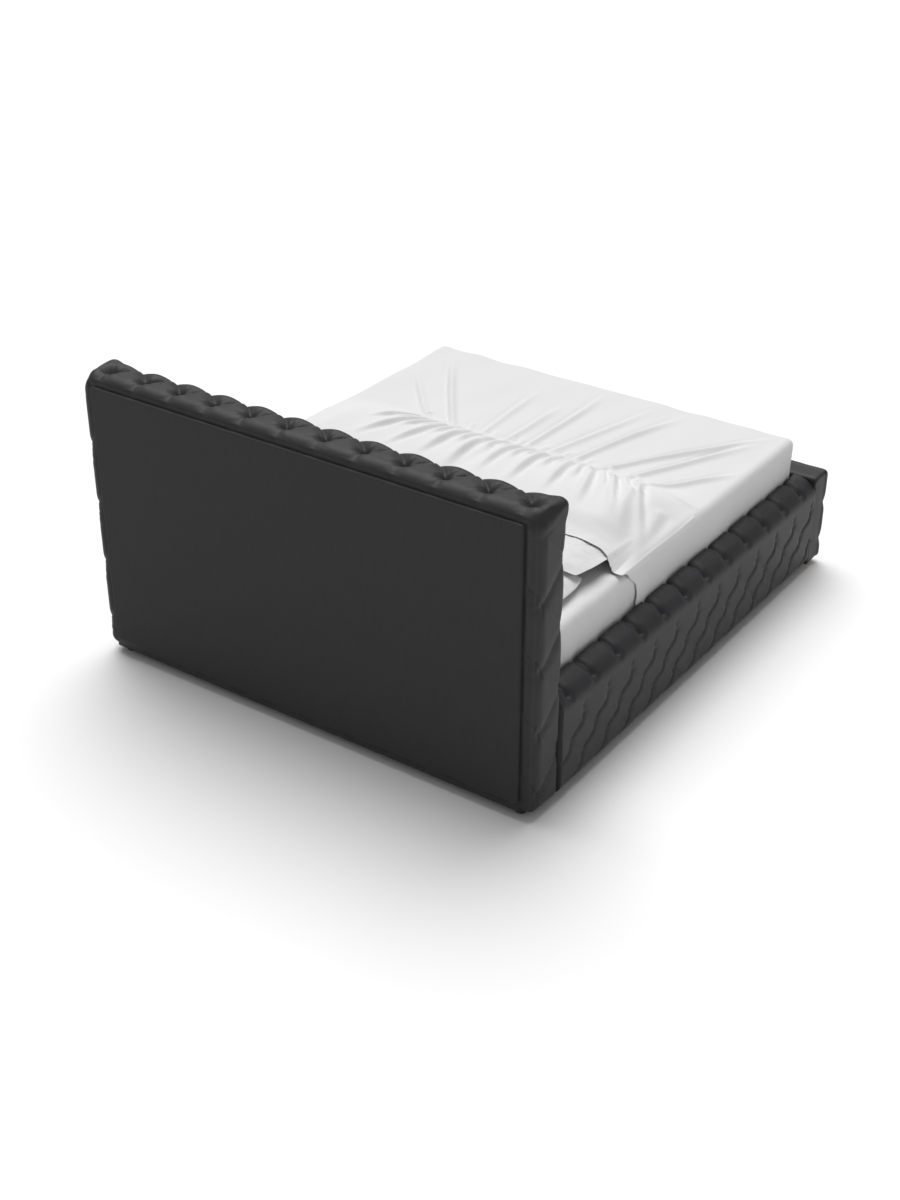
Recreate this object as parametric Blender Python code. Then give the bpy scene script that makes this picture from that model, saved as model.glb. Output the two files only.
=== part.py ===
"""Diamond-tufted upholstered double bed with its bedding, as separate pieces.

Metres, +Z up. The head of the bed points to +Y. The origin is on the floor, at the centre of the
bed's footprint. Left is -X and right is +X, as seen from the foot. Fabric skins are real shells,
foam is cut as slabs, and pieces that touch keep a gap of GAP.
"""

import math

import bmesh
import bpy
from mathutils import Vector

# Driving dimensions ---------------------------------------------------------------------------
MATTRESS_WIDTH = 1.80
MATTRESS_LENGTH = 2.00
MATTRESS_THICKNESS = 0.23
MATTRESS_ROUNDING = 0.035
SLAT_TOP_HEIGHT = 0.370

HEADBOARD_HEIGHT = 1.195
HEADBOARD_SIDE_REACH = 0.112
HEAD_PANEL_THICKNESS = 0.012
HEAD_PANEL_SIDE_MARGIN = 0.058
HEAD_PANEL_TOP_MARGIN = 0.034
HEAD_PANEL_BOTTOM_MARGIN = 0.042
HEAD_POST_DEPTH = 0.093
HEAD_POST_WIDTH = 0.060
HEAD_FRAME_RAIL_HEIGHT = 0.090
HEAD_FRONT_BOARD_THICKNESS = 0.014
HEAD_FRONT_FOAM = 0.057
HEAD_EDGE_FOAM = 0.045
HEAD_BACK_LIP = 0.070
HEAD_ROUNDING = 0.028

RAIL_HEIGHT = 0.414
RAIL_CORE_THICKNESS = 0.044
RAIL_OUTER_FOAM = 0.056
RAIL_TOP_FOAM = 0.040
RAIL_ROUNDING = 0.034

FOOTBOARD_HEIGHT = 0.438
FOOTBOARD_SIDE_REACH = 0.116
FOOTBOARD_CORE_THICKNESS = 0.055
FOOTBOARD_OUTER_FOAM = 0.052
FOOTBOARD_TOP_FOAM = 0.040
FOOTBOARD_ROUNDING = 0.014
FOOTBOARD_BOTTOM_LIP = 0.030

FLOOR_GAP = 0.028
COVER_THICKNESS = 0.0025
SIDE_CLEARANCE = 0.008
HEAD_CLEARANCE = 0.005
FOOT_CLEARANCE = 0.020
GAP = 0.0003

SLAT_COUNT = 12
SLAT_WIDTH = 0.095
SLAT_THICKNESS = 0.020
SLAT_END_CLEARANCE = 0.003
LEDGER_WIDTH = 0.035
LEDGER_HEIGHT = 0.045
BEAM_WIDTH = 0.050
BEAM_HEIGHT = 0.070
BEAM_END_CLEARANCE = 0.004
BEAM_LEG_RADIUS = 0.020
BEAM_LEG_COUNT = 2

BRACKET_LEG = 0.060
BRACKET_STEEL = 0.004
BRACKET_HEIGHT = 0.120
BRACKET_BELOW_LEDGER = 0.020
BOLT_RADIUS = 0.004
BOLT_GRIP = 0.045
BOLT_HEAD_RADIUS = 0.0075
BOLT_HEAD_HEIGHT = 0.0055
GLIDE_RADIUS = 0.0225
GLIDE_CHAMFER = 0.003

SHEET_THICKNESS = 0.002
SHEET_HEM_ABOVE_SLATS = 0.020
COVER_SHEET_THICKNESS = 0.003
COVER_HEM_HEIGHT = 0.398
COVER_TOP_ROOM = 0.001
COVER_RAMP_FROM_HEAD = 1.290
COVER_ABOVE_PILLOWS = 0.008
COVER_RAMP_FULLNESS = 0.70
COVER_TOP_HEM_FROM_HEAD = 0.600
COVER_SIDE_HEM_FROM_HEAD = 0.670

PILLOW_WIDTH = 0.840
LOWER_PILLOW_DEPTH = 0.460
LOWER_PILLOW_THICKNESS = 0.074
UPPER_PILLOW_DEPTH = 0.800
UPPER_PILLOW_THICKNESS = 0.066
UPPER_PILLOW_TILT = math.radians(4.0)
UPPER_PILLOW_FROM_HEAD = 0.340
UPPER_PILLOW_LIFT = 0.001
PILLOW_HEAD_CLEARANCE = 0.012
PILLOW_DIVISIONS = 10

ROUND_SEGMENTS = 4
BOLT_SIDES = 16
GLIDE_SIDES = 32
CUT_REACH = 0.05

# Places that follow from them -----------------------------------------------------------------
HALF_MATTRESS = MATTRESS_WIDTH / 2
RAIL_INNER = HALF_MATTRESS + SIDE_CLEARANCE
RAIL_CORE_INNER = RAIL_INNER + COVER_THICKNESS + GAP
RAIL_CORE_OUTER = RAIL_CORE_INNER + RAIL_CORE_THICKNESS
RAIL_OUTER = RAIL_CORE_OUTER + GAP + RAIL_OUTER_FOAM + GAP + COVER_THICKNESS
HEADBOARD_HALF = HALF_MATTRESS + HEADBOARD_SIDE_REACH
FOOTBOARD_HALF = HALF_MATTRESS + FOOTBOARD_SIDE_REACH

HEADBOARD_DEPTH = (HEAD_PANEL_THICKNESS + COVER_THICKNESS + HEAD_POST_DEPTH
                   + HEAD_FRONT_BOARD_THICKNESS + HEAD_FRONT_FOAM + COVER_THICKNESS + 5 * GAP)
FOOTBOARD_DEPTH = 2 * COVER_THICKNESS + FOOTBOARD_CORE_THICKNESS + FOOTBOARD_OUTER_FOAM + 3 * GAP
BED_LENGTH = (HEADBOARD_DEPTH + HEAD_CLEARANCE + MATTRESS_LENGTH + FOOT_CLEARANCE + FOOTBOARD_DEPTH)
BACK_Y = BED_LENGTH / 2
FOOT_Y = -BED_LENGTH / 2
HEAD_COVER_BACK = BACK_Y - HEAD_PANEL_THICKNESS - GAP
HEAD_FRONT = BACK_Y - HEADBOARD_DEPTH
FOOT_INNER = FOOT_Y + FOOTBOARD_DEPTH
MATTRESS_HEAD = HEAD_FRONT - HEAD_CLEARANCE
MATTRESS_FOOT = MATTRESS_HEAD - MATTRESS_LENGTH
MATTRESS_BOTTOM = SLAT_TOP_HEIGHT + GAP
MATTRESS_TOP = MATTRESS_BOTTOM + MATTRESS_THICKNESS
SHEET_TOP = MATTRESS_TOP + GAP + SHEET_THICKNESS
SLAT_BOTTOM = SLAT_TOP_HEIGHT - SLAT_THICKNESS
LEDGER_TOP = SLAT_BOTTOM - GAP
LEDGER_BOTTOM = LEDGER_TOP - LEDGER_HEIGHT
BRACKET_TOP = LEDGER_BOTTOM - BRACKET_BELOW_LEDGER
BRACKET_MIDDLE = BRACKET_TOP - BRACKET_HEIGHT / 2
FILLING_INSET = COVER_THICKNESS + GAP
COVER_RAMP_RISE = (UPPER_PILLOW_LIFT + UPPER_PILLOW_THICKNESS
                   + math.sin(UPPER_PILLOW_TILT) * UPPER_PILLOW_DEPTH + COVER_ABOVE_PILLOWS)

# Colour (linear RGB), roughness and metallic value of each finish
FINISHES = {
    "velvet": ((0.040, 0.040, 0.042), 0.85, 0.0),
    "back_cloth": ((0.036, 0.036, 0.038), 0.90, 0.0),
    "foam": ((0.75, 0.72, 0.60), 0.95, 0.0),
    "pine": ((0.62, 0.44, 0.26), 0.60, 0.0),
    "fibreboard": ((0.42, 0.30, 0.19), 0.70, 0.0),
    "zinc_steel": ((0.60, 0.61, 0.62), 0.35, 1.0),
    "nylon": ((0.03, 0.03, 0.03), 0.45, 0.0),
    "white_cotton": ((0.86, 0.86, 0.86), 0.85, 0.0),
    "mattress_ticking": ((0.80, 0.80, 0.79), 0.85, 0.0),
}


# Building blocks ------------------------------------------------------------------------------
def clear_scene():
    """Remove every object that is already there."""
    for old in list(bpy.data.objects):
        bpy.data.objects.remove(old, do_unlink=True)


def finish(name):
    """The material of that finish, made on first use."""
    found = bpy.data.materials.get(name)
    if found:
        return found
    colour, roughness, metallic = FINISHES[name]
    made = bpy.data.materials.new(name)
    made.use_nodes = True
    shader = made.node_tree.nodes["Principled BSDF"]
    shader.inputs["Base Color"].default_value = (*colour, 1.0)
    shader.inputs["Roughness"].default_value = roughness
    shader.inputs["Metallic"].default_value = metallic
    return made


def add_object(name, mesh, material=None):
    """Link a new object; without a material it is a hidden cutter."""
    piece = bpy.data.objects.new(name, mesh)
    bpy.context.scene.collection.objects.link(piece)
    if material:
        mesh.materials.append(finish(material))
    else:
        piece.hide_render = True
        piece.display_type = "WIRE"
    return piece


def to_mesh(name, shape):
    """Turn a bmesh into a mesh with outward faces, smooth where it is round."""
    bmesh.ops.recalc_face_normals(shape, faces=shape.faces)
    mesh = bpy.data.meshes.new(name)
    shape.to_mesh(mesh)
    shape.free()
    mesh.shade_smooth()
    mesh.set_sharp_from_angle(angle=math.radians(35))
    return mesh


def block(name, low, high, material=None, rounding=0.0, is_rounded=None):
    """A box between two corners, with its edges rounded: all of them, or those a test picks."""
    shape = bmesh.new()
    bmesh.ops.create_cube(shape, size=1.0)
    low, high = Vector(low), Vector(high)
    bmesh.ops.scale(shape, vec=high - low, verts=shape.verts)
    bmesh.ops.translate(shape, vec=(low + high) / 2, verts=shape.verts)
    if rounding:
        edges = [e for e in shape.edges if is_rounded is None or is_rounded(e)]
        bmesh.ops.bevel(shape, geom=edges, offset=rounding, offset_type="OFFSET", affect="EDGES",
                        segments=ROUND_SEGMENTS, profile=0.5, material=-1)
    return add_object(name, to_mesh(name, shape), material)


def rod(name, start, end, radius, sides, material=None, chamfer=0.0):
    """A round bar between two points, with its start edge chamfered if asked."""
    start, end = Vector(start), Vector(end)
    axis = end - start
    shape = bmesh.new()
    bmesh.ops.create_cone(shape, cap_ends=True, segments=sides, radius1=radius, radius2=radius,
                          depth=axis.length)
    if chamfer:
        rim = [e for e in shape.edges if all(v.co.z < 0 for v in e.verts)]
        bmesh.ops.bevel(shape, geom=rim, offset=chamfer, offset_type="OFFSET", affect="EDGES",
                        segments=1, profile=0.5, material=-1)
    turn = axis.to_track_quat("Z", "Y").to_matrix()
    bmesh.ops.rotate(shape, cent=(0, 0, 0), matrix=turn, verts=shape.verts)
    bmesh.ops.translate(shape, vec=(start + end) / 2, verts=shape.verts)
    return add_object(name, to_mesh(name, shape), material)


def cut(piece, cutter, operation="DIFFERENCE"):
    """Add an exact Boolean to a piece."""
    step = piece.modifiers.new(cutter.name, "BOOLEAN")
    step.operation = operation
    step.solver = "EXACT"
    step.object = cutter
    return piece


def trimmed(piece, shape):
    """Keep only what lies inside a shape."""
    return cut(piece, shape, "INTERSECT")


def outline_prism(name, outline, half_width, material=None):
    """Push an outline of (y, z) points across the bed, from -half_width to +half_width."""
    shape = bmesh.new()
    face = shape.faces.new([shape.verts.new((-half_width, y, z)) for y, z in outline])
    pushed = bmesh.ops.extrude_face_region(shape, geom=[face])
    moved = [v for v in pushed["geom"] if isinstance(v, bmesh.types.BMVert)]
    bmesh.ops.translate(shape, vec=(2 * half_width, 0, 0), verts=moved)
    return add_object(name, to_mesh(name, shape), material)


# Headboard ------------------------------------------------------------------------------------
HEAD_FILLING_LOW = Vector((-HEADBOARD_HALF + FILLING_INSET, HEAD_FRONT + FILLING_INSET,
                           FLOOR_GAP + FILLING_INSET))
HEAD_FILLING_HIGH = Vector((HEADBOARD_HALF - FILLING_INSET, HEAD_COVER_BACK - FILLING_INSET,
                            HEADBOARD_HEIGHT - FILLING_INSET))
HEAD_FRAME_HALF = HEADBOARD_HALF - FILLING_INSET - HEAD_EDGE_FOAM - GAP
HEAD_FRAME_TOP = HEAD_FILLING_HIGH.z - HEAD_EDGE_FOAM - GAP
HEAD_FRAME_BOTTOM = HEAD_FILLING_LOW.z + HEAD_EDGE_FOAM + GAP
HEAD_POST_FRONT = HEAD_FILLING_HIGH.y - HEAD_POST_DEPTH
HEAD_BOARD_FRONT = HEAD_POST_FRONT - GAP - HEAD_FRONT_BOARD_THICKNESS
HEAD_BOARD_LINE = RAIL_HEIGHT
BRACKET_OUTER = RAIL_CORE_INNER - GAP
BOLT_X = BRACKET_OUTER - BRACKET_STEEL - BRACKET_LEG / 2


def bolt_hole(name, side, from_y, direction):
    """The hole that one bracket bolt needs, from the bracket's face into the timber."""
    reach = BRACKET_STEEL + COVER_THICKNESS + BOLT_GRIP + 3 * GAP
    start = (side * BOLT_X, from_y - direction * CUT_REACH, BRACKET_MIDDLE)
    end = (side * BOLT_X, from_y + direction * reach, BRACKET_MIDDLE)
    return rod(name, start, end, BOLT_RADIUS + GAP, BOLT_SIDES)


def build_headboard():
    """Frame, boards, foam slabs, tufted cover and back panel."""
    filling = block("headboard_filling_shape", HEAD_FILLING_LOW, HEAD_FILLING_HIGH,
                    rounding=HEAD_ROUNDING - COVER_THICKNESS)
    cavity = block("headboard_cavity_shape", HEAD_FILLING_LOW - Vector((GAP, GAP, GAP)),
                   HEAD_FILLING_HIGH + Vector((GAP, GAP, GAP)),
                   rounding=HEAD_ROUNDING - COVER_THICKNESS + GAP)
    holes = [bolt_hole(f"head_bolt_hole_{word}", side, HEAD_FRONT - GAP - BRACKET_STEEL, 1)
             for word, side in (("left", -1), ("right", 1))]

    for word, side in (("left", -1), ("right", 1)):
        inner = side * (HEAD_FRAME_HALF - HEAD_POST_WIDTH)
        outer = side * HEAD_FRAME_HALF
        post = block(f"headboard_post_{word}",
                     (min(inner, outer), HEAD_POST_FRONT, HEAD_FILLING_LOW.z),
                     (max(inner, outer), HEAD_FILLING_HIGH.y, HEAD_FRAME_TOP), "pine")
        trimmed(post, filling)
        foam_inner = side * (HEAD_FRAME_HALF + GAP)
        foam_outer = side * HEAD_FILLING_HIGH.x
        foam = block(f"headboard_end_foam_{word}",
                     (min(foam_inner, foam_outer), HEAD_BOARD_FRONT, HEAD_FILLING_LOW.z),
                     (max(foam_inner, foam_outer), HEAD_FILLING_HIGH.y, HEAD_FRAME_TOP), "foam")
        trimmed(foam, filling)

    between = HEAD_FRAME_HALF - HEAD_POST_WIDTH - GAP
    block("headboard_top_frame_rail", (-between, HEAD_POST_FRONT, HEAD_FRAME_TOP - HEAD_FRAME_RAIL_HEIGHT),
          (between, HEAD_FILLING_HIGH.y, HEAD_FRAME_TOP), "pine")
    block("headboard_bottom_frame_rail", (-between, HEAD_POST_FRONT, HEAD_FRAME_BOTTOM),
          (between, HEAD_FILLING_HIGH.y, HEAD_FRAME_BOTTOM + HEAD_FRAME_RAIL_HEIGHT), "pine")
    block("headboard_front_board", (-HEAD_FRAME_HALF, HEAD_BOARD_FRONT, HEAD_FILLING_LOW.z),
          (HEAD_FRAME_HALF, HEAD_POST_FRONT - GAP, HEAD_FRAME_TOP), "fibreboard")

    mounting = block("headboard_mounting_board",
                     (-HEAD_FRAME_HALF, HEAD_FILLING_LOW.y, HEAD_FILLING_LOW.z),
                     (HEAD_FRAME_HALF, HEAD_BOARD_FRONT - GAP, HEAD_BOARD_LINE), "pine")
    trimmed(mounting, filling)
    front_foam = block("headboard_front_foam",
                       (HEAD_FILLING_LOW.x, HEAD_FILLING_LOW.y, HEAD_BOARD_LINE + GAP),
                       (HEAD_FILLING_HIGH.x, HEAD_BOARD_FRONT - GAP, HEAD_FILLING_HIGH.z), "foam")
    trimmed(front_foam, filling)
    top_foam = block("headboard_top_foam",
                     (HEAD_FILLING_LOW.x, HEAD_BOARD_FRONT, HEAD_FRAME_TOP + GAP),
                     (HEAD_FILLING_HIGH.x, HEAD_FILLING_HIGH.y, HEAD_FILLING_HIGH.z), "foam")
    trimmed(top_foam, filling)
    bottom_foam = block("headboard_bottom_foam", (-between, HEAD_POST_FRONT, HEAD_FILLING_LOW.z),
                        (between, HEAD_FILLING_HIGH.y, HEAD_FRAME_BOTTOM - GAP), "foam")
    trimmed(bottom_foam, filling)

    cover = block("headboard_cover", (-HEADBOARD_HALF, HEAD_FRONT, FLOOR_GAP),
                  (HEADBOARD_HALF, HEAD_COVER_BACK, HEADBOARD_HEIGHT), "velvet",
                  rounding=HEAD_ROUNDING)
    window = block("headboard_cover_window",
                   (-HEADBOARD_HALF + HEAD_BACK_LIP, HEAD_FILLING_HIGH.y - CUT_REACH,
                    FLOOR_GAP + HEAD_BACK_LIP),
                   (HEADBOARD_HALF - HEAD_BACK_LIP, HEAD_COVER_BACK + CUT_REACH,
                    HEADBOARD_HEIGHT - HEAD_BACK_LIP))
    cut(cut(cover, cavity), window)
    for hole in holes:
        cut(cover, hole)
        cut(mounting, hole)

    block("headboard_back_panel",
          (-HEADBOARD_HALF + HEAD_PANEL_SIDE_MARGIN, BACK_Y - HEAD_PANEL_THICKNESS,
           FLOOR_GAP + HEAD_PANEL_BOTTOM_MARGIN),
          (HEADBOARD_HALF - HEAD_PANEL_SIDE_MARGIN, BACK_Y, HEADBOARD_HEIGHT - HEAD_PANEL_TOP_MARGIN),
          "back_cloth", rounding=HEAD_PANEL_THICKNESS / 4)


# Side rails -----------------------------------------------------------------------------------
RAIL_HEAD_END = HEAD_FRONT - GAP
RAIL_FOOT_END = FOOT_INNER + GAP
RAIL_BOTTOM = FLOOR_GAP
RAIL_CORE_BOTTOM = RAIL_BOTTOM + FILLING_INSET
RAIL_CORE_TOP = RAIL_HEIGHT - FILLING_INSET - RAIL_TOP_FOAM - GAP


def side_block(name, side, inner, outer, y_low, y_high, z_low, z_high, material=None, **rounding):
    """A box given by its distances from the bed's centre line, on one side of the bed."""
    low_x, high_x = sorted((side * inner, side * outer))
    return block(name, (low_x, y_low, z_low), (high_x, y_high, z_high), material, **rounding)


def build_side_rail(word, side):
    """Timber core, folded foam sheet and tufted cover of one side rail."""
    def is_outer_long_edge(edge):
        return all(side * vert.co.x > RAIL_CORE_OUTER for vert in edge.verts) and (
            abs(edge.verts[0].co.y - edge.verts[1].co.y) > RAIL_HEIGHT)

    filling = side_block(f"rail_filling_shape_{word}", side, RAIL_CORE_INNER, RAIL_OUTER - FILLING_INSET,
                         RAIL_FOOT_END - CUT_REACH, RAIL_HEAD_END + CUT_REACH,
                         RAIL_CORE_BOTTOM, RAIL_HEIGHT - FILLING_INSET,
                         rounding=RAIL_ROUNDING - COVER_THICKNESS, is_rounded=is_outer_long_edge)
    side_block(f"side_rail_core_{word}", side, RAIL_CORE_INNER, RAIL_CORE_OUTER,
               RAIL_FOOT_END, RAIL_HEAD_END, RAIL_CORE_BOTTOM, RAIL_CORE_TOP, "pine")

    foam = side_block(f"side_rail_foam_{word}", side, RAIL_CORE_INNER, RAIL_OUTER - FILLING_INSET,
                      RAIL_FOOT_END, RAIL_HEAD_END, RAIL_CORE_BOTTOM, RAIL_HEIGHT - FILLING_INSET, "foam")
    core_room = side_block(f"rail_core_room_{word}", side, RAIL_CORE_INNER - CUT_REACH,
                           RAIL_CORE_OUTER + GAP, RAIL_FOOT_END - CUT_REACH, RAIL_HEAD_END + CUT_REACH,
                           RAIL_CORE_BOTTOM - CUT_REACH, RAIL_CORE_TOP + GAP)
    cut(cut(foam, core_room), filling, "INTERSECT")

    cover = side_block(f"side_rail_cover_{word}", side, RAIL_INNER, RAIL_OUTER,
                       RAIL_FOOT_END, RAIL_HEAD_END, RAIL_BOTTOM, RAIL_HEIGHT, "velvet",
                       rounding=RAIL_ROUNDING, is_rounded=is_outer_long_edge)
    cavity = side_block(f"rail_cavity_shape_{word}", side, RAIL_CORE_INNER - GAP,
                        RAIL_OUTER - COVER_THICKNESS, RAIL_FOOT_END - CUT_REACH,
                        RAIL_HEAD_END + CUT_REACH, RAIL_BOTTOM + COVER_THICKNESS,
                        RAIL_HEIGHT - COVER_THICKNESS,
                        rounding=RAIL_ROUNDING - COVER_THICKNESS + GAP,
                        is_rounded=is_outer_long_edge)
    open_side = side_block(f"rail_cover_opening_{word}", side, RAIL_INNER - CUT_REACH,
                           RAIL_CORE_INNER + RAIL_CORE_THICKNESS / 3, RAIL_FOOT_END - CUT_REACH,
                           RAIL_HEAD_END + CUT_REACH, RAIL_BOTTOM - CUT_REACH, SLAT_BOTTOM)
    cut(cut(cover, cavity), open_side)


# Footboard ------------------------------------------------------------------------------------
FOOT_CORE_INNER = FOOT_INNER - FILLING_INSET
FOOT_CORE_OUTER = FOOT_CORE_INNER - FOOTBOARD_CORE_THICKNESS
FOOT_CORE_TOP = FOOTBOARD_HEIGHT - FILLING_INSET - FOOTBOARD_TOP_FOAM - GAP


def build_footboard():
    """Timber core, outer and top foam, and the cover drawn over them like a sock."""
    low = Vector((-FOOTBOARD_HALF, FOOT_Y, FLOOR_GAP))
    high = Vector((FOOTBOARD_HALF, FOOT_INNER, FOOTBOARD_HEIGHT))
    inset = Vector((FILLING_INSET, FILLING_INSET, FILLING_INSET))
    skin = Vector((COVER_THICKNESS, COVER_THICKNESS, COVER_THICKNESS))
    filling = block("footboard_filling_shape", low + inset, high - inset,
                    rounding=FOOTBOARD_ROUNDING - COVER_THICKNESS)
    cavity = block("footboard_cavity_shape", low + skin, high - skin,
                   rounding=FOOTBOARD_ROUNDING - COVER_THICKNESS + GAP)
    half = FOOTBOARD_HALF - FILLING_INSET

    core = block("footboard_core", (-half, FOOT_CORE_OUTER, low.z + FILLING_INSET),
                 (half, FOOT_CORE_INNER, FOOT_CORE_TOP), "pine")
    trimmed(core, filling)
    outer_foam = block("footboard_outer_foam", (-half, FOOT_Y + FILLING_INSET, low.z + FILLING_INSET),
                       (half, FOOT_CORE_OUTER - GAP, FOOT_CORE_TOP), "foam")
    trimmed(outer_foam, filling)
    top_foam = block("footboard_top_foam", (-half, FOOT_Y + FILLING_INSET, FOOT_CORE_TOP + GAP),
                     (half, FOOT_CORE_INNER, FOOTBOARD_HEIGHT - FILLING_INSET), "foam")
    trimmed(top_foam, filling)

    cover = block("footboard_cover", low, high, "velvet", rounding=FOOTBOARD_ROUNDING)
    open_bottom = block("footboard_cover_opening",
                        (-half + FOOTBOARD_BOTTOM_LIP, FOOT_Y + FOOTBOARD_BOTTOM_LIP,
                         FLOOR_GAP - CUT_REACH),
                        (half - FOOTBOARD_BOTTOM_LIP, FOOT_INNER - FOOTBOARD_BOTTOM_LIP,
                         FLOOR_GAP + FILLING_INSET + CUT_REACH))
    cut(cut(cover, cavity), open_bottom)
    for word, side in (("left", -1), ("right", 1)):
        hole = bolt_hole(f"foot_bolt_hole_{word}", side, FOOT_INNER + GAP + BRACKET_STEEL, -1)
        cut(cover, hole)
        cut(core, hole)


# Brackets and bolts ---------------------------------------------------------------------------
def build_corner_joint(end_word, word, side, face_y, direction):
    """An angle bracket between a rail and an end board, and its bolt."""
    plate_y = face_y - direction * GAP
    leg_y = plate_y - direction * BRACKET_LEG
    low_z = BRACKET_TOP - BRACKET_HEIGHT
    low_x, high_x = sorted((side * (BRACKET_OUTER - BRACKET_LEG), side * BRACKET_OUTER))
    low_y, high_y = sorted((plate_y, leg_y))
    bracket = block(f"{end_word}_bracket_{word}", (low_x, low_y, low_z), (high_x, high_y, BRACKET_TOP),
                    "zinc_steel")
    notch_inner = side * (BRACKET_OUTER - BRACKET_LEG - CUT_REACH)
    notch_outer = side * (BRACKET_OUTER - BRACKET_STEEL)
    notch_x = sorted((notch_inner, notch_outer))
    notch_y = sorted((plate_y - direction * BRACKET_STEEL, leg_y - direction * CUT_REACH))
    notch = block(f"{end_word}_bracket_notch_{word}",
                  (notch_x[0], notch_y[0], low_z - CUT_REACH),
                  (notch_x[1], notch_y[1], BRACKET_TOP + CUT_REACH))
    cut(bracket, notch)
    cut(bracket, bpy.data.objects[f"{end_word}_bolt_hole_{word}"])

    head_y = plate_y - direction * (BRACKET_STEEL + GAP)
    tip = (side * BOLT_X, face_y + direction * (COVER_THICKNESS + BOLT_GRIP - BOLT_RADIUS), BRACKET_MIDDLE)
    under_head = (side * BOLT_X, head_y, BRACKET_MIDDLE)
    head_end = (side * BOLT_X, head_y - direction * BOLT_HEAD_HEIGHT, BRACKET_MIDDLE)
    bolt = rod(f"{end_word}_bracket_bolt_{word}", head_end, under_head, BOLT_HEAD_RADIUS, 6, "zinc_steel")
    shank = rod(f"{end_word}_bolt_shank_{word}",
                (side * BOLT_X, head_y - direction * BOLT_HEAD_HEIGHT / 2, BRACKET_MIDDLE), tip,
                BOLT_RADIUS, BOLT_SIDES)
    cut(bolt, shank, "UNION")


# Mattress support -----------------------------------------------------------------------------
def build_support():
    """Ledgers, slats, centre beam, its legs and the glides under the end boards."""
    for word, side in (("left", -1), ("right", 1)):
        side_block(f"slat_ledger_{word}", side, BRACKET_OUTER - LEDGER_WIDTH, BRACKET_OUTER,
                   RAIL_FOOT_END, RAIL_HEAD_END, LEDGER_BOTTOM, LEDGER_TOP, "pine")

    slat_half = RAIL_INNER - SLAT_END_CLEARANCE
    pitch = MATTRESS_LENGTH / SLAT_COUNT
    for i in range(SLAT_COUNT):
        middle = MATTRESS_FOOT + (i + 0.5) * pitch
        block(f"slat_{i + 1:02d}", (-slat_half, middle - SLAT_WIDTH / 2, SLAT_BOTTOM),
              (slat_half, middle + SLAT_WIDTH / 2, SLAT_TOP_HEIGHT), "pine")

    beam_top = SLAT_BOTTOM - GAP
    beam_bottom = beam_top - BEAM_HEIGHT
    beam_low_y = FOOT_INNER + BEAM_END_CLEARANCE
    beam_high_y = HEAD_FRONT - BEAM_END_CLEARANCE
    block("centre_beam", (-BEAM_WIDTH / 2, beam_low_y, beam_bottom),
          (BEAM_WIDTH / 2, beam_high_y, beam_top), "pine")
    for i in range(BEAM_LEG_COUNT):
        leg_y = beam_low_y + (i + 0.5) * (beam_high_y - beam_low_y) / BEAM_LEG_COUNT
        rod(f"centre_leg_{i + 1}", (0, leg_y, 0), (0, leg_y, beam_bottom - GAP), BEAM_LEG_RADIUS,
            GLIDE_SIDES, "pine", GLIDE_CHAMFER)

    glide_x = HEAD_FRAME_HALF - HEAD_POST_WIDTH / 2
    head_y = (HEAD_POST_FRONT + HEAD_FILLING_HIGH.y) / 2
    foot_y = (FOOT_CORE_INNER + FOOT_CORE_OUTER) / 2
    for end_word, glide_y in (("head", head_y), ("foot", foot_y)):
        for word, side in (("left", -1), ("right", 1)):
            rod(f"{end_word}_glide_{word}", (side * glide_x, glide_y, 0),
                (side * glide_x, glide_y, FLOOR_GAP - GAP), GLIDE_RADIUS, GLIDE_SIDES, "nylon", GLIDE_CHAMFER)


# Bedding --------------------------------------------------------------------------------------
def pillow(name, centre, depth, thickness, tilt):
    """A closed pillow: full in the middle, thin at its edges, with slightly drawn-in sides."""
    shape = bmesh.new()
    bmesh.ops.create_cube(shape, size=2.0)
    bmesh.ops.subdivide_edges(shape, edges=shape.edges, cuts=PILLOW_DIVISIONS - 1, use_grid_fill=True)
    for vert in shape.verts:
        u, v, w = vert.co
        crown = (1 - u * u) * (1 - v * v)
        rim = 0.12
        draw_in = 0.03
        vert.co = Vector((u * (1 - draw_in * (1 - v * v)) * PILLOW_WIDTH / 2,
                          v * (1 - draw_in * (1 - u * u)) * depth / 2,
                          w * (rim + (1 - rim) * crown ** 0.6) * thickness / 2))
    made = add_object(name, to_mesh(name, shape), "white_cotton")
    made.location = centre
    made.rotation_euler.x = tilt
    return made


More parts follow.
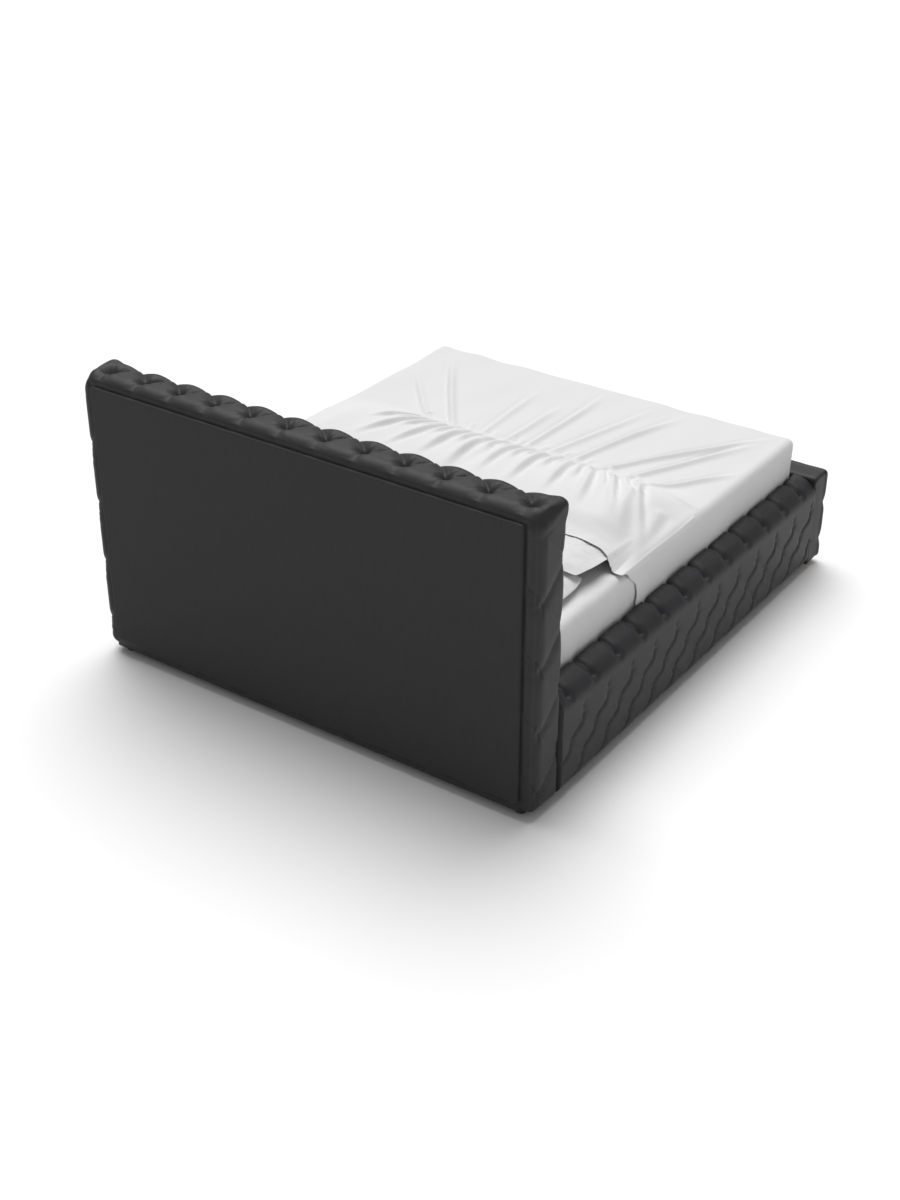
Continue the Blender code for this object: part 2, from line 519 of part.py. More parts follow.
def build_bedding():
    """Mattress, fitted sheet, four pillows and the cover."""
    low = Vector((-HALF_MATTRESS, MATTRESS_FOOT, MATTRESS_BOTTOM))
    high = Vector((HALF_MATTRESS, MATTRESS_HEAD, MATTRESS_TOP))
    block("mattress", low, high, "mattress_ticking", rounding=MATTRESS_ROUNDING)

    skirt = SHEET_HEM_ABOVE_SLATS
    around = Vector((GAP + SHEET_THICKNESS, GAP + SHEET_THICKNESS, 0))
    near = Vector((GAP, GAP, 0))
    up = Vector((0, 0, 1))
    drop = MATTRESS_ROUNDING + CUT_REACH
    sheet = block("fitted_sheet", low - around - up * drop, high + around + up * (GAP + SHEET_THICKNESS),
                  "white_cotton", rounding=MATTRESS_ROUNDING + SHEET_THICKNESS)
    sheet_room = block("sheet_inner_shape", low - near - up * (drop + CUT_REACH), high + near + up * GAP,
                       rounding=MATTRESS_ROUNDING)
    sheet_bottom = block("sheet_hem_cut", low - around * 10 - up * (drop + CUT_REACH),
                         Vector((high.x, high.y, low.z + skirt)) + around * 10)
    cut(cut(sheet, sheet_room), sheet_bottom)

    lower_y = MATTRESS_HEAD - PILLOW_HEAD_CLEARANCE - LOWER_PILLOW_DEPTH / 2
    lower_z = SHEET_TOP + GAP + LOWER_PILLOW_THICKNESS / 2
    upper_y = MATTRESS_HEAD - UPPER_PILLOW_FROM_HEAD - UPPER_PILLOW_DEPTH / 2
    upper_z = (SHEET_TOP + UPPER_PILLOW_LIFT + UPPER_PILLOW_THICKNESS / 2
               + math.sin(UPPER_PILLOW_TILT) * UPPER_PILLOW_DEPTH / 2)
    for word, side in (("left", -1), ("right", 1)):
        pillow_x = side * (PILLOW_WIDTH / 2 + PILLOW_HEAD_CLEARANCE)
        pillow(f"lower_pillow_{word}", (pillow_x, lower_y, lower_z), LOWER_PILLOW_DEPTH,
               LOWER_PILLOW_THICKNESS, 0.0)
        pillow(f"upper_pillow_{word}", (pillow_x, upper_y, upper_z), UPPER_PILLOW_DEPTH,
               UPPER_PILLOW_THICKNESS, UPPER_PILLOW_TILT)

    build_cover()


def cover_profile(offset):
    """The cover's side view as (y, z) points, grown by an offset, closed by its slanted head hem."""
    rest = SHEET_TOP + COVER_TOP_ROOM + offset
    foot = MATTRESS_FOOT - GAP - SHEET_THICKNESS - COVER_TOP_ROOM - offset
    ramp = MATTRESS_HEAD - COVER_RAMP_FROM_HEAD
    head_top = MATTRESS_HEAD - COVER_TOP_HEM_FROM_HEAD
    head_hem = MATTRESS_HEAD - COVER_SIDE_HEM_FROM_HEAD
    steps = 6
    crest = [(ramp + (head_top - ramp) * i / steps,
              rest + COVER_RAMP_RISE * math.sin(math.pi / 2 * i / steps) ** COVER_RAMP_FULLNESS)
             for i in range(steps + 1)]
    return [(foot, COVER_HEM_HEIGHT), (head_hem, COVER_HEM_HEIGHT), *reversed(crest), (foot, rest)]


def build_cover():
    """A boxed cover over the mattress and the upper pillows, open underneath and at the head."""
    inner_half = HALF_MATTRESS + GAP + SHEET_THICKNESS + COVER_TOP_ROOM
    cover = outline_prism("bed_cover", cover_profile(COVER_SHEET_THICKNESS),
                          inner_half + COVER_SHEET_THICKNESS, "white_cotton")
    room = outline_prism("cover_inner_shape", cover_profile(0.0), inner_half)
    shape = room.data
    head_end = max(v.co.y for v in shape.vertices)
    hem = COVER_HEM_HEIGHT
    for vert in shape.vertices:
        if vert.co.y > MATTRESS_HEAD - COVER_SIDE_HEM_FROM_HEAD - GAP and vert.co.z < hem + GAP:
            vert.co.y += CUT_REACH
        if vert.co.z < hem + GAP:
            vert.co.z -= CUT_REACH
        if vert.co.y > head_end - GAP:
            vert.co.y += CUT_REACH
    cut(cover, room)


def main():
    """Build every piece of the bed."""
    clear_scene()
    build_headboard()
    for word, side in (("left", -1), ("right", 1)):
        build_side_rail(word, side)
    build_footboard()
    for word, side in (("left", -1), ("right", 1)):
        build_corner_joint("head", word, side, HEAD_FRONT, 1)
        build_corner_joint("foot", word, side, FOOT_INNER, -1)
    build_support()
    build_bedding()


main()
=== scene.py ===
import math

import bmesh
import bpy
import numpy as np
from bpy.props import FloatProperty, FloatVectorProperty, PointerProperty
from bpy.types import Operator, Panel, PropertyGroup
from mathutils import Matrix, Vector
from mathutils.bvhtree import BVHTree


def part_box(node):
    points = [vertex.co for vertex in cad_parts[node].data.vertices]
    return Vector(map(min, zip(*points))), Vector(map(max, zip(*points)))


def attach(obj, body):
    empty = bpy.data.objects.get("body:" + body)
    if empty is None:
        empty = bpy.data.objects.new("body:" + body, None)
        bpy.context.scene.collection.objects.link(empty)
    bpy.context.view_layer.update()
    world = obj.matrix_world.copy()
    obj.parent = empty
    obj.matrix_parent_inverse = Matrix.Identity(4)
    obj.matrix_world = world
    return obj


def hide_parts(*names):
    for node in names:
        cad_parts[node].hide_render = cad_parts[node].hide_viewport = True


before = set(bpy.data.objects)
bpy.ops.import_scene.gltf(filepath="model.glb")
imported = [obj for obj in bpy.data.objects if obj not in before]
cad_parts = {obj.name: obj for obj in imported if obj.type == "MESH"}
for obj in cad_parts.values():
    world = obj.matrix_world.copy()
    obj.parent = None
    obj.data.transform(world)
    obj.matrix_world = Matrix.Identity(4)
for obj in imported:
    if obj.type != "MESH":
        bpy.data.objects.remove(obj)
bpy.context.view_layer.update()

bl_info = {
    "name": "Tufted Platform Bed",
    "version": (1, 0, 0),
    "blender": (4, 5, 0),
    "location": "3D View > Sidebar > Bed",
    "description": "Builds the upholstery, bedding and finishes of a deep-buttoned bed",
    "category": "Add Mesh",
}

# ---------------------------------------------------------------- places taken from the frame

HEAD_LOW, HEAD_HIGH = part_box("headboard_cover")
PANEL_LOW, PANEL_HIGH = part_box("headboard_back_panel")
HEAD_FRAME_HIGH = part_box("headboard_post_left")[1]
BOARD_LOW, BOARD_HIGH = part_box("headboard_front_board")
MOUNTING_LOW, MOUNTING_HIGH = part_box("headboard_mounting_board")
RAIL_LOW, RAIL_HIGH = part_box("side_rail_cover_right")
RAIL_CORE_LOW, RAIL_CORE_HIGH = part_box("side_rail_core_right")
FOOT_LOW, FOOT_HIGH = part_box("footboard_cover")
FOOT_CORE_LOW, FOOT_CORE_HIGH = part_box("footboard_core")
MATTRESS_LOW, MATTRESS_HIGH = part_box("mattress")
SHEET_LOW, SHEET_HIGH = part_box("fitted_sheet")
COVER_LOW, COVER_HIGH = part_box("bed_cover")
UPPER_PILLOW_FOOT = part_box("upper_pillow_right")[0].y

CLEARANCE = 0.0003          # kept between a padded piece and the frame inside it
HALF_PITCHES = 24           # half diamonds across the headboard
CELLS = 16                  # mesh cells across one half diamond
HALF_PITCH = (HEAD_HIGH.x - HEAD_LOW.x) / HALF_PITCHES
PLEAT_BLEND = 6             # how sharply crossing pleats and tufts meet
TUFT_FUNNEL = 0.90          # a tuft's width as a share of its quilting's reach
WRINKLE_HEIGHT = 0.0032     # of the fine folds round a tuft
WRINKLE_START = 0.020       # how far from a tuft they reach their full height
WRINKLE_FADE = 0.032        # and how fast they die away beyond it
NO_CREASE = 0.0015          # faces whose diagonals lie closer in depth than this stay whole
MOST_POINTS = 20000         # points compared with a rail's outline at a time


# ---------------------------------------------------------------- sizes and colours to change

def linear(code):
    """An sRGB hex colour as linear red, green and blue."""
    channels = [int(code[i:i + 2], 16) / 255 for i in (0, 2, 4)]
    return tuple(c / 12.92 if c <= 0.04045 else ((c + 0.055) / 1.055) ** 2.4 for c in channels)


def length(name, description, default):
    """A length that the sidebar shows, in metres."""
    return FloatProperty(name=name, description=description, default=default, min=0.0,
                         subtype="DISTANCE", unit="LENGTH")


def colour(name, description, code):
    """A colour that the sidebar shows, given as sRGB hex."""
    return FloatVectorProperty(name=name, description=description, default=linear(code), size=3,
                               min=0.0, max=1.0, subtype="COLOR")


class BedTufting(PropertyGroup):
    """How the velvet is pulled in and how the foam swells between the pulls."""
    swell: length("Swell", "How far the foam stands proud between the pleats", 0.009)
    tuft_depth: length("Tuft depth", "How deep a tuft is pulled in", 0.040)
    pleat_depth: length("Pleat depth", "How deep a pleat is half way between two tufts", 0.015)
    head_row: length("Top front row", "Height of the headboard's top row of front tufts", 1.120)
    row_pitch: length("Row spacing", "Height between neighbouring rows on the headboard", 0.127)
    rail_row_pitch: length("Rail row spacing", "Height between neighbouring rows on a side rail", 0.087)
    rail_top_row: length("Rail top row", "From a rail's outer face to its top row of tufts", 0.024)
    rail_first_row: length("Rail first row", "Height of the highest row on a rail's outer face", 0.293)


class BedBedding(PropertyGroup):
    """The bedding's drape."""
    cover_rounding: length("Cover rounding", "Radius of the bed cover's long edges", 0.030)
    fold_height: length("Fold height", "Height of the bed cover's straight folds", 0.014)
    fold_width: length("Fold width", "Width of the bed cover's straight folds", 0.016)


class BedFinishes(PropertyGroup):
    """The colours of the bed's finishes."""
    velvet: colour("Velvet", "Charcoal upholstery velvet", "2c2c2e")
    back_cloth: colour("Back cloth", "Woven cloth on the back panel", "343435")
    cotton: colour("Cotton", "White percale bedding", "dcdcdc")
    pine: colour("Pine", "Planed softwood of the frame", "c9a574")


# ---------------------------------------------------------------- mesh helpers

def read_points(bm):
    """A mesh's vertices as an array."""
    return np.array([v.co for v in bm.verts], float).reshape(-1, 3)


def write_points(bm, points):
    """Puts a mesh's vertices where an array says."""
    for vert, place in zip(bm.verts, points):
        vert.co = place


def spaced(low, high, step):
    """Evenly spaced places from low to high, about step apart."""
    return np.linspace(low, high, max(2, round((high - low) / step) + 1))


def snapped(lines, *places):
    """Lines with the nearest one moved to each given place."""
    lines = np.array(lines, float)
    for place in places:
        lines[np.abs(lines - place).argmin()] = place
    return lines


def gridded_box(x_lines, y_lines, z_lines):
    """A closed box whose faces are cut along the given places."""
    bm = bmesh.new()
    bmesh.ops.create_cube(bm, size=1.0)
    lines = (x_lines, y_lines, z_lines)
    for axis in range(3):
        along = [e for e in bm.edges if abs((e.verts[0].co - e.verts[1].co)[axis]) > 0.99]
        if len(lines[axis]) > 2:
            bmesh.ops.subdivide_edges(bm, edges=along, cuts=len(lines[axis]) - 2, use_grid_fill=True)
    points = read_points(bm)
    placed = np.empty_like(points)
    for axis in range(3):
        index = np.rint((points[:, axis] + 0.5) * (len(lines[axis]) - 1)).astype(int)
        placed[:, axis] = lines[axis][index]
    write_points(bm, placed)
    return bm


def rounded(points, low, high, radius, low_margin=(1, 1, 1), high_margin=(1, 1, 1)):
    """Points of a box moved onto the same box with round edges, and the outward directions there.
    The radius is one length, or a column with one for each point."""
    low, high = np.array(low, float), np.array(high, float)
    core = np.clip(points, low + radius * np.array(low_margin), high - radius * np.array(high_margin))
    out = points - core
    size = np.linalg.norm(out, axis=1, keepdims=True)
    way = out / np.maximum(size, 1e-9)
    return np.where(size > radius, core + way * radius, points), way


def remove_faces(bm, test):
    """Takes away the faces whose middle passes a test."""
    bmesh.ops.delete(bm, geom=[f for f in bm.faces if test(f.calc_center_median())], context="FACES")


def open_edges(bm):
    """The edges round a mesh's openings."""
    return [e for e in bm.edges if len(e.link_faces) == 1]


def push_edges(bm, edges, move):
    """Extrudes edges, moves the new ones with a function of their place, and returns them."""
    made = bmesh.ops.extrude_edge_only(bm, edges=edges)["geom"]
    for vert in (g for g in made if isinstance(g, bmesh.types.BMVert)):
        vert.co = move(vert.co.copy())
    return [g for g in made if isinstance(g, bmesh.types.BMEdge)]


def crease_quads(bm, depth):
    """Splits each four-sided face along the diagonal that lies deeper, so that pleats stay crisp."""
    bm.verts.index_update()
    for face in [f for f in bm.faces if len(f.verts) == 4]:
        corners = list(face.verts)
        pulls = [depth[v.index] for v in corners]
        first, second = pulls[0] + pulls[2], pulls[1] + pulls[3]
        if abs(first - second) > NO_CREASE:
            pair = (corners[0], corners[2]) if first > second else (corners[1], corners[3])
            bmesh.utils.face_split(face, *pair)


def finish_piece(name, bm, material, replaced):
    """Makes an object of a mesh, smooth, on the frame, standing for the named CAD nodes."""
    mesh = bpy.data.meshes.new(name)
    bm.to_mesh(mesh)
    bm.free()
    mesh.shade_smooth()
    mesh.materials.append(material)
    piece = bpy.data.objects.new(name, mesh)
    bpy.context.scene.collection.objects.link(piece)
    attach(piece, "root")
    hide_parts(*replaced)
    return piece


# ---------------------------------------------------------------- tufting

def pillow_profile(share):
    """Height lost at a share of the way from a pleat to the middle of its diamond: 1 down to 0."""
    left = 1 - np.clip(share, 0, 1)
    return 0.3 * (1 - np.sqrt(np.maximum(0, 1 - left ** 2))) + 0.7 * left ** 1.9


class Quilting:
    """Pleats and tufts on a surface, and how deep they pull it at any point."""

    def __init__(self, tufting, reach, seed):
        self.tufting = tufting
        self.reach = reach
        self.random = np.random.RandomState(seed)
        self.pleats = []
        self.tufts = []

    def pleat(self, start, end, start_share=1.0, end_share=1.0, middle_share=1.0, reach=None):
        """A crease from start to end. The shares scale its depth at both ends and half way."""
        self.pleats.append((np.array(start, float), np.array(end, float),
                            start_share, end_share, middle_share, reach or self.reach))

    def swept_pleat(self, start, end, bend, share, reach):
        """A crease of even depth that leaves both ends curving, like a drawn-out letter S."""
        start, end = np.array(start, float), np.array(end, float)
        square = np.array([start[1] - end[1], end[0] - start[0]])
        steps = 5
        marks = [start + (end - start) * i / steps + square * bend * math.sin(2 * math.pi * i / steps)
                 for i in range(steps + 1)]
        for first, second in zip(marks, marks[1:]):
            self.pleat(first, second, share * 0.6, share * 0.6, share, reach)

    def tuft(self, place, plane=(0, 1), share=1.0):
        """A deep pull at one place, with small wrinkles round it in the given plane."""
        self.tufts.append((np.array(place, float), plane, share))

    def depth(self, points):
        """How far each point is pulled in, in metres."""
        total = np.zeros(len(points))
        at_tuft = self.tufting.tuft_depth * 0.55
        half_way = self.tufting.pleat_depth
        for start, end, start_share, end_share, middle_share, reach in self.pleats:
            near = self.near(points, np.minimum(start, end), np.maximum(start, end), reach)
            spot = points[near]
            run = end - start
            along = np.clip((spot - start) @ run / (run @ run), 0, 1)
            away = np.linalg.norm(spot - start - along[:, None] * run, axis=1)
            ends = np.abs(2 * along - 1) ** 2.5
            end_depth = at_tuft * np.where(along < 0.5, start_share, end_share)
            deep = half_way * middle_share * (1 - ends) + end_depth * ends
            total[near] += (deep * pillow_profile(away / reach)) ** PLEAT_BLEND
        for place, _, share in self.tufts:
            funnel = self.reach * TUFT_FUNNEL
            near = self.near(points, place, place, funnel)
            away = np.linalg.norm(points[near] - place, axis=1)
            deep = self.tufting.tuft_depth * share * np.clip(1 - away / funnel, 0, 1) ** 1.9
            total[near] += deep ** PLEAT_BLEND
        return total ** (1 / PLEAT_BLEND)

    def wrinkles(self, points):
        """Fine folds that run out from the tufts, in metres."""
        total = np.zeros(len(points))
        for place, plane, share in self.tufts:
            near = self.near(points, place, place, self.reach * 1.1)
            gap = points[near] - place
            away = np.linalg.norm(gap, axis=1)
            turn = np.arctan2(gap[:, plane[1]], gap[:, plane[0]])
            folds = self.random.randint(7, 11)
            shape = np.cos(folds * turn + self.random.uniform(0, 6.3))
            shape += 0.7 * np.cos((folds - 4) * turn + self.random.uniform(0, 6.3))
            fade = np.clip(away / WRINKLE_START, 0, 1) ** 2 * np.exp(-away / WRINKLE_FADE)
            total[near] += WRINKLE_HEIGHT * share * shape * fade
        return total

    @staticmethod
    def near(points, low, high, reach):
        """The points within reach of a box."""
        return np.all((points > low - reach) & (points < high + reach), axis=1)


def soft_step(value, low, high):
    """0 below low, 1 above high, and smooth between."""
    share = np.clip((value - low) / (high - low), 0, 1)
    return share * share * (3 - 2 * share)


def head_rows(tufting):
    """Heights of the headboard's tuft rows, from the top front row to the floor."""
    count = int((tufting.head_row - HEAD_LOW.z) / tufting.row_pitch) + 1
    return [tufting.head_row - i * tufting.row_pitch for i in range(count)]


def odd_places():
    """Places across the bed of the tufts that stand half a diamond off the middle."""
    return [k * HALF_PITCH for k in range(1 - HALF_PITCHES // 2, HALF_PITCHES // 2, 2)]


def even_places():
    """Places across the bed of the tufts in line with the middle."""
    return [k * HALF_PITCH for k in range(-HALF_PITCHES // 2, HALF_PITCHES // 2 + 1, 2)]


def headboard_quilting(tufting):
    """The headboard's pleats and tufts, marked out on its unrounded box."""
    quilt = Quilting(tufting, 0.062, 11)
    front, back, top = HEAD_LOW.y, HEAD_HIGH.y, HEAD_HIGH.z
    middle = front + HALF_PITCH
    half = HEAD_HIGH.x
    rows = head_rows(tufting)
    flat_below = MOUNTING_HIGH.z + 0.02
    # across the top: tufts half way back, straight pleats to the back edge, diamonds to the front
    for x in odd_places():
        quilt.tuft((x, middle, top), (0, 1), 1.05)
        quilt.pleat((x, middle, top), (x, back, top - 0.01), 0.9, 0.30, 0.85, 0.050)
        for side in (-1, 1):
            valley = (x + side * HALF_PITCH, front, top)
            if abs(valley[0]) < half - 0.01:
                quilt.pleat((x, middle, top), valley, 1.0, 0.85, 1.35, 0.052)
                quilt.pleat((x, front, rows[0]), valley, 1.0, 0.75)
    # down the front: alternate rows of diamonds
    for i, z in enumerate(rows):
        places = even_places() if i % 2 else odd_places()
        for x in places:
            if z > flat_below and abs(x) < half - 0.01:
                quilt.tuft((x, front, z), (0, 2))
            for side in (-1, 1):
                other = x + side * HALF_PITCH
                if abs(other) <= half + 0.01 and z - tufting.row_pitch > flat_below:
                    quilt.pleat((x, front, z), (other, front, z - tufting.row_pitch))
    # both ends: tufts beside the back corner, pleats that fan to the back panel, valleys on the front corner
    turn = back - 0.036
    for side in (-1, 1):
        end = side * half
        panel_edge = side * (PANEL_HIGH.x + 0.006)
        for i, z in enumerate(rows):
            if i % 2:
                quilt.tuft((end, front, z), (1, 2), 0.45)
                continue
            quilt.tuft((end, turn, z), (1, 2), 0.60 if i else 0.30)
            for step in (-1, 1):
                corner = z + step * tufting.row_pitch
                if HEAD_LOW.z < corner < top:
                    quilt.pleat((end, turn, z), (end, front, corner), 0.8 if i else 0.4, 0.45,
                                0.8 if step > 0 and i else 0.45, 0.050)
            if i:
                for share, rise in ((1.0, 0.085), (0.7, 0.055), (0.5, 0.028)):
                    corner = (end, back, z + rise * 0.45)
                    quilt.pleat((end, turn, z), corner, share, share * 0.7, share * 0.8, 0.030)
                    quilt.pleat(corner, (panel_edge, back, z + rise),
                                share * 0.7, share * 0.3, share * 0.6, 0.026)
    # underneath: straight pleats that scallop the lower edge
    for x in odd_places():
        quilt.pleat((x, front + 0.04, HEAD_LOW.z), (x, back, HEAD_LOW.z), 0.6, 0.8, 1.0)
    return quilt


def headboard_lines(tufting):
    """Where the headboard's box is cut across, from front to back and in height."""
    across = np.linspace(HEAD_LOW.x, HEAD_HIGH.x, HALF_PITCHES * CELLS + 1)
    middle = HEAD_LOW.y + HALF_PITCH
    deep = np.concatenate([np.linspace(HEAD_LOW.y, middle, CELLS + 1),
                           np.linspace(middle, HEAD_HIGH.y, CELLS)[1:]])
    rows = head_rows(tufting)
    height = [np.linspace(HEAD_HIGH.z, rows[0], CELLS + 1)[:-1]]
    for upper, lower in zip(rows, rows[1:]):
        height.append(np.linspace(upper, lower, CELLS + 1)[:-1])
    height.append(spaced(HEAD_LOW.z, rows[-1], 0.008)[::-1])
    return across, deep, np.concatenate(height)[::-1]


def build_headboard(tufting, material):
    """The headboard's padded cover: tufted front, top and ends, hollow at the back for its frame."""
    lines = headboard_lines(tufting)
    bm = gridded_box(*lines)
    base = read_points(bm)
    # the back's edges are round, and the top corners sharpen towards the front
    to_front = soft_step(HEAD_HIGH.y - base[:, 1:2], 0.02, 0.16)
    at_corner = soft_step(np.abs(base[:, 0:1]), HEAD_HIGH.x - 0.08, HEAD_HIGH.x - 0.03)
    at_corner = at_corner * soft_step(base[:, 2:3], HEAD_HIGH.z - 0.08, HEAD_HIGH.z - 0.03)
    radius = 0.034 + (0.014 + 0.008 * at_corner) * (1 - to_front) - 0.020 * to_front * at_corner
    shape, way = rounded(base, HEAD_LOW, HEAD_HIGH, radius)
    quilt = headboard_quilting(tufting)
    depth = quilt.depth(base)
    # the ends and the back edge are pulled tight, so they swell less than the front and the top
    tight = np.maximum(soft_step(np.abs(base[:, 0]), HEAD_HIGH.x - 0.03, HEAD_HIGH.x),
                       0.3 * soft_step(base[:, 1], HEAD_HIGH.y - 0.06, HEAD_HIGH.y))
    lift = tufting.swell * (1 - 0.75 * tight) - depth * (1 - 0.35 * tight) + quilt.wrinkles(base)
    # flat where the mattress, the rails and the back panel touch it
    hidden_front = (1 - soft_step(base[:, 2], 0.40, 0.47)) * (base[:, 1] < HEAD_LOW.y + 1e-4)
    hidden_front *= np.abs(base[:, 0]) < RAIL_HIGH.x
    past_panel = np.maximum.reduce([np.abs(base[:, 0]) - PANEL_HIGH.x, base[:, 2] - PANEL_HIGH.z,
                                    PANEL_LOW.z - base[:, 2]])
    at_back = (base[:, 1] > HEAD_HIGH.y - 1e-4) * soft_step(-past_panel, -0.022, -0.002)
    lift = lift * (1 - hidden_front) * (1 - at_back)
    write_points(bm, shape + way * lift[:, None])
    crease_quads(bm, depth)
    # the cover turns over the frame's back and stops under the back panel, so its opening is smaller
    lap = 0.030
    low = Vector((PANEL_LOW.x + lap, 0, PANEL_LOW.z + lap))
    high = Vector((PANEL_HIGH.x - lap, 0, PANEL_HIGH.z - lap))
    remove_faces(bm, lambda c: (c.y > HEAD_HIGH.y - 0.004 and low.x < c.x < high.x and low.z < c.z < high.z))
    frame_back = HEAD_FRAME_HIGH.y + CLEARANCE
    floor_y = BOARD_LOW.y - CLEARANCE
    rim = open_edges(bm)
    corner_low = Vector([min(v.co[i] for e in rim for v in e.verts) for i in range(3)])
    corner_high = Vector([max(v.co[i] for e in rim for v in e.verts) for i in range(3)])

    def beside_frame(co):
        """A point of the opening's rim moved out to the frame's side, top or bottom."""
        share_x = (co.x - corner_low.x) / (corner_high.x - corner_low.x)
        share_z = (co.z - corner_low.z) / (corner_high.z - corner_low.z)
        wide = BOARD_LOW.x - CLEARANCE + share_x * (BOARD_HIGH.x - BOARD_LOW.x + 2 * CLEARANCE)
        tall_low = BOARD_LOW.z - CLEARANCE
        tall = tall_low + share_z * (HEAD_FRAME_HIGH.z + CLEARANCE - tall_low)
        return Vector((wide, co.y, tall))
    rim = push_edges(bm, rim, lambda co: Vector((co.x, frame_back, co.z)))
    rim = push_edges(bm, rim, beside_frame)
    push_edges(bm, rim, lambda co: Vector((co.x, floor_y, co.z)))
    bmesh.ops.holes_fill(bm, edges=open_edges(bm), sides=0)
    notch_headboard(bm, floor_y)
    bmesh.ops.recalc_face_normals(bm, faces=bm.faces)
    piece = finish_piece("headboard_upholstery", bm, material, [
        "headboard_cover", "headboard_front_foam", "headboard_top_foam", "headboard_bottom_foam",
        "headboard_end_foam_left", "headboard_end_foam_right"])
    return piece


def build_back_panel(material):
    """The back panel: a board wrapped in cloth, with soft edges."""
    bm = bmesh.new()
    bmesh.ops.create_cube(bm, size=1.0)
    size, middle = PANEL_HIGH - PANEL_LOW, (PANEL_HIGH + PANEL_LOW) / 2
    bmesh.ops.scale(bm, vec=size, verts=bm.verts)
    bmesh.ops.translate(bm, vec=middle, verts=bm.verts)
    corners = [e for e in bm.edges if abs(e.verts[0].co.y - e.verts[1].co.y) > size.y / 2]
    bmesh.ops.bevel(bm, geom=corners, offset=0.014, offset_type="OFFSET", affect="EDGES", segments=5,
                    profile=0.5, material=-1)
    rear = [e for e in bm.edges if all(v.co.y > PANEL_HIGH.y - 1e-4 for v in e.verts)]
    bmesh.ops.bevel(bm, geom=rear, offset=0.007, offset_type="OFFSET", affect="EDGES", segments=6,
                    profile=0.5, material=-1)
    # a narrow flat border keeps the big face's shading flat beside the round edge
    back = [f for f in bm.faces if f.calc_center_median().y > PANEL_HIGH.y - 1e-4 and len(f.verts) > 4]
    bmesh.ops.inset_region(bm, faces=back, thickness=0.002, use_even_offset=True)
    piece = finish_piece("back_panel_covered", bm, material, ["headboard_back_panel"])
    piece.data.set_sharp_from_angle(angle=math.radians(50))
    return piece


def notch_headboard(bm, floor_y):
    """Deepens the hollow's lower part for the mounting board."""
    floor = [f for f in bm.faces if abs(f.calc_center_median().y - floor_y) < 1e-4 and len(f.verts) > 20]
    top = MOUNTING_HIGH.z + CLEARANCE
    cut = bmesh.ops.bisect_plane(bm, geom=floor + list({e for f in floor for e in f.edges})
                                 + list({v for f in floor for v in f.verts}),
                                 plane_co=(0, 0, top), plane_no=(0, 0, 1))
    lower = [g for g in cut["geom"] if isinstance(g, bmesh.types.BMFace)
             and abs(g.calc_center_median().y - floor_y) < 1e-4 and g.calc_center_median().z < top]
    made = bmesh.ops.extrude_face_region(bm, geom=lower)["geom"]
    deeper = [g for g in made if isinstance(g, bmesh.types.BMVert)]
    bmesh.ops.translate(bm, verts=deeper, vec=(0, MOUNTING_LOW.y - CLEARANCE - floor_y, 0))
    bmesh.ops.delete(bm, geom=lower, context="FACES")


# ---------------------------------------------------------------- side rails

RAIL_RADIUS = 0.046         # of a rail's outer edges
RAIL_INNER_RADIUS = 0.010   # of a rail's edge beside the mattress
RAIL_FIRST_COLUMN = 0.745   # the column of tufts that the others are counted from
RAIL_CROWN = 0.021          # how far a rail's top rises toward the mattress
RAIL_ABOVE_FLOOR = 0.0145   # the lowest that a rail's cover comes


def arc(centre, radius, start, end, steps):
    """Points on a round corner, in degrees from start to end."""
    turns = [math.radians(start + (end - start) * i / steps) for i in range(steps + 1)]
    return [(centre[0] + radius * math.cos(t), centre[1] + radius * math.sin(t)) for t in turns]


def straight(start, end, step):
    """Points from start to end without the last, about step apart."""
    count = max(1, round(math.dist(start, end) / step))
    return [(start[0] + (end[0] - start[0]) * i / count, start[1] + (end[1] - start[1]) * i / count)
            for i in range(count)]


def rail_outline(radius, inner_radius, step):
    """The right rail's outer skin in cross-section, from under the mattress side round to the core."""
    inner, outer, low, high = RAIL_LOW.x, RAIL_HIGH.x, RAIL_LOW.z, RAIL_HIGH.z
    path = straight((inner, low), (inner, high - inner_radius), 0.03)
    path += arc((inner + inner_radius, high - inner_radius), inner_radius, 180, 90, 4)[:-1]
    path += straight((inner + inner_radius, high), (outer - radius, high), step)
    path += arc((outer - radius, high - radius), radius, 90, 0, 8)[:-1]
    path += straight((outer, high - radius), (outer, low + radius), step)
    path += arc((outer - radius, low + radius), radius, 0, -90, 8)[:-1]
    path += straight((outer - radius, low), (RAIL_CORE_HIGH.x + CLEARANCE, low), step)
    path.append((RAIL_CORE_HIGH.x + CLEARANCE, low))
    return np.array(path)


def nearest_marks(points, marks):
    """The index of the mark nearest each point in a rail's cross-section."""
    nearest = np.empty(len(points), int)
    for low in range(0, len(points), MOST_POINTS):
        part = points[low:low + MOST_POINTS]
        nearest[low:low + MOST_POINTS] = np.abs(part[:, None, ::2] - marks[None]).sum(2).argmin(1)
    return nearest


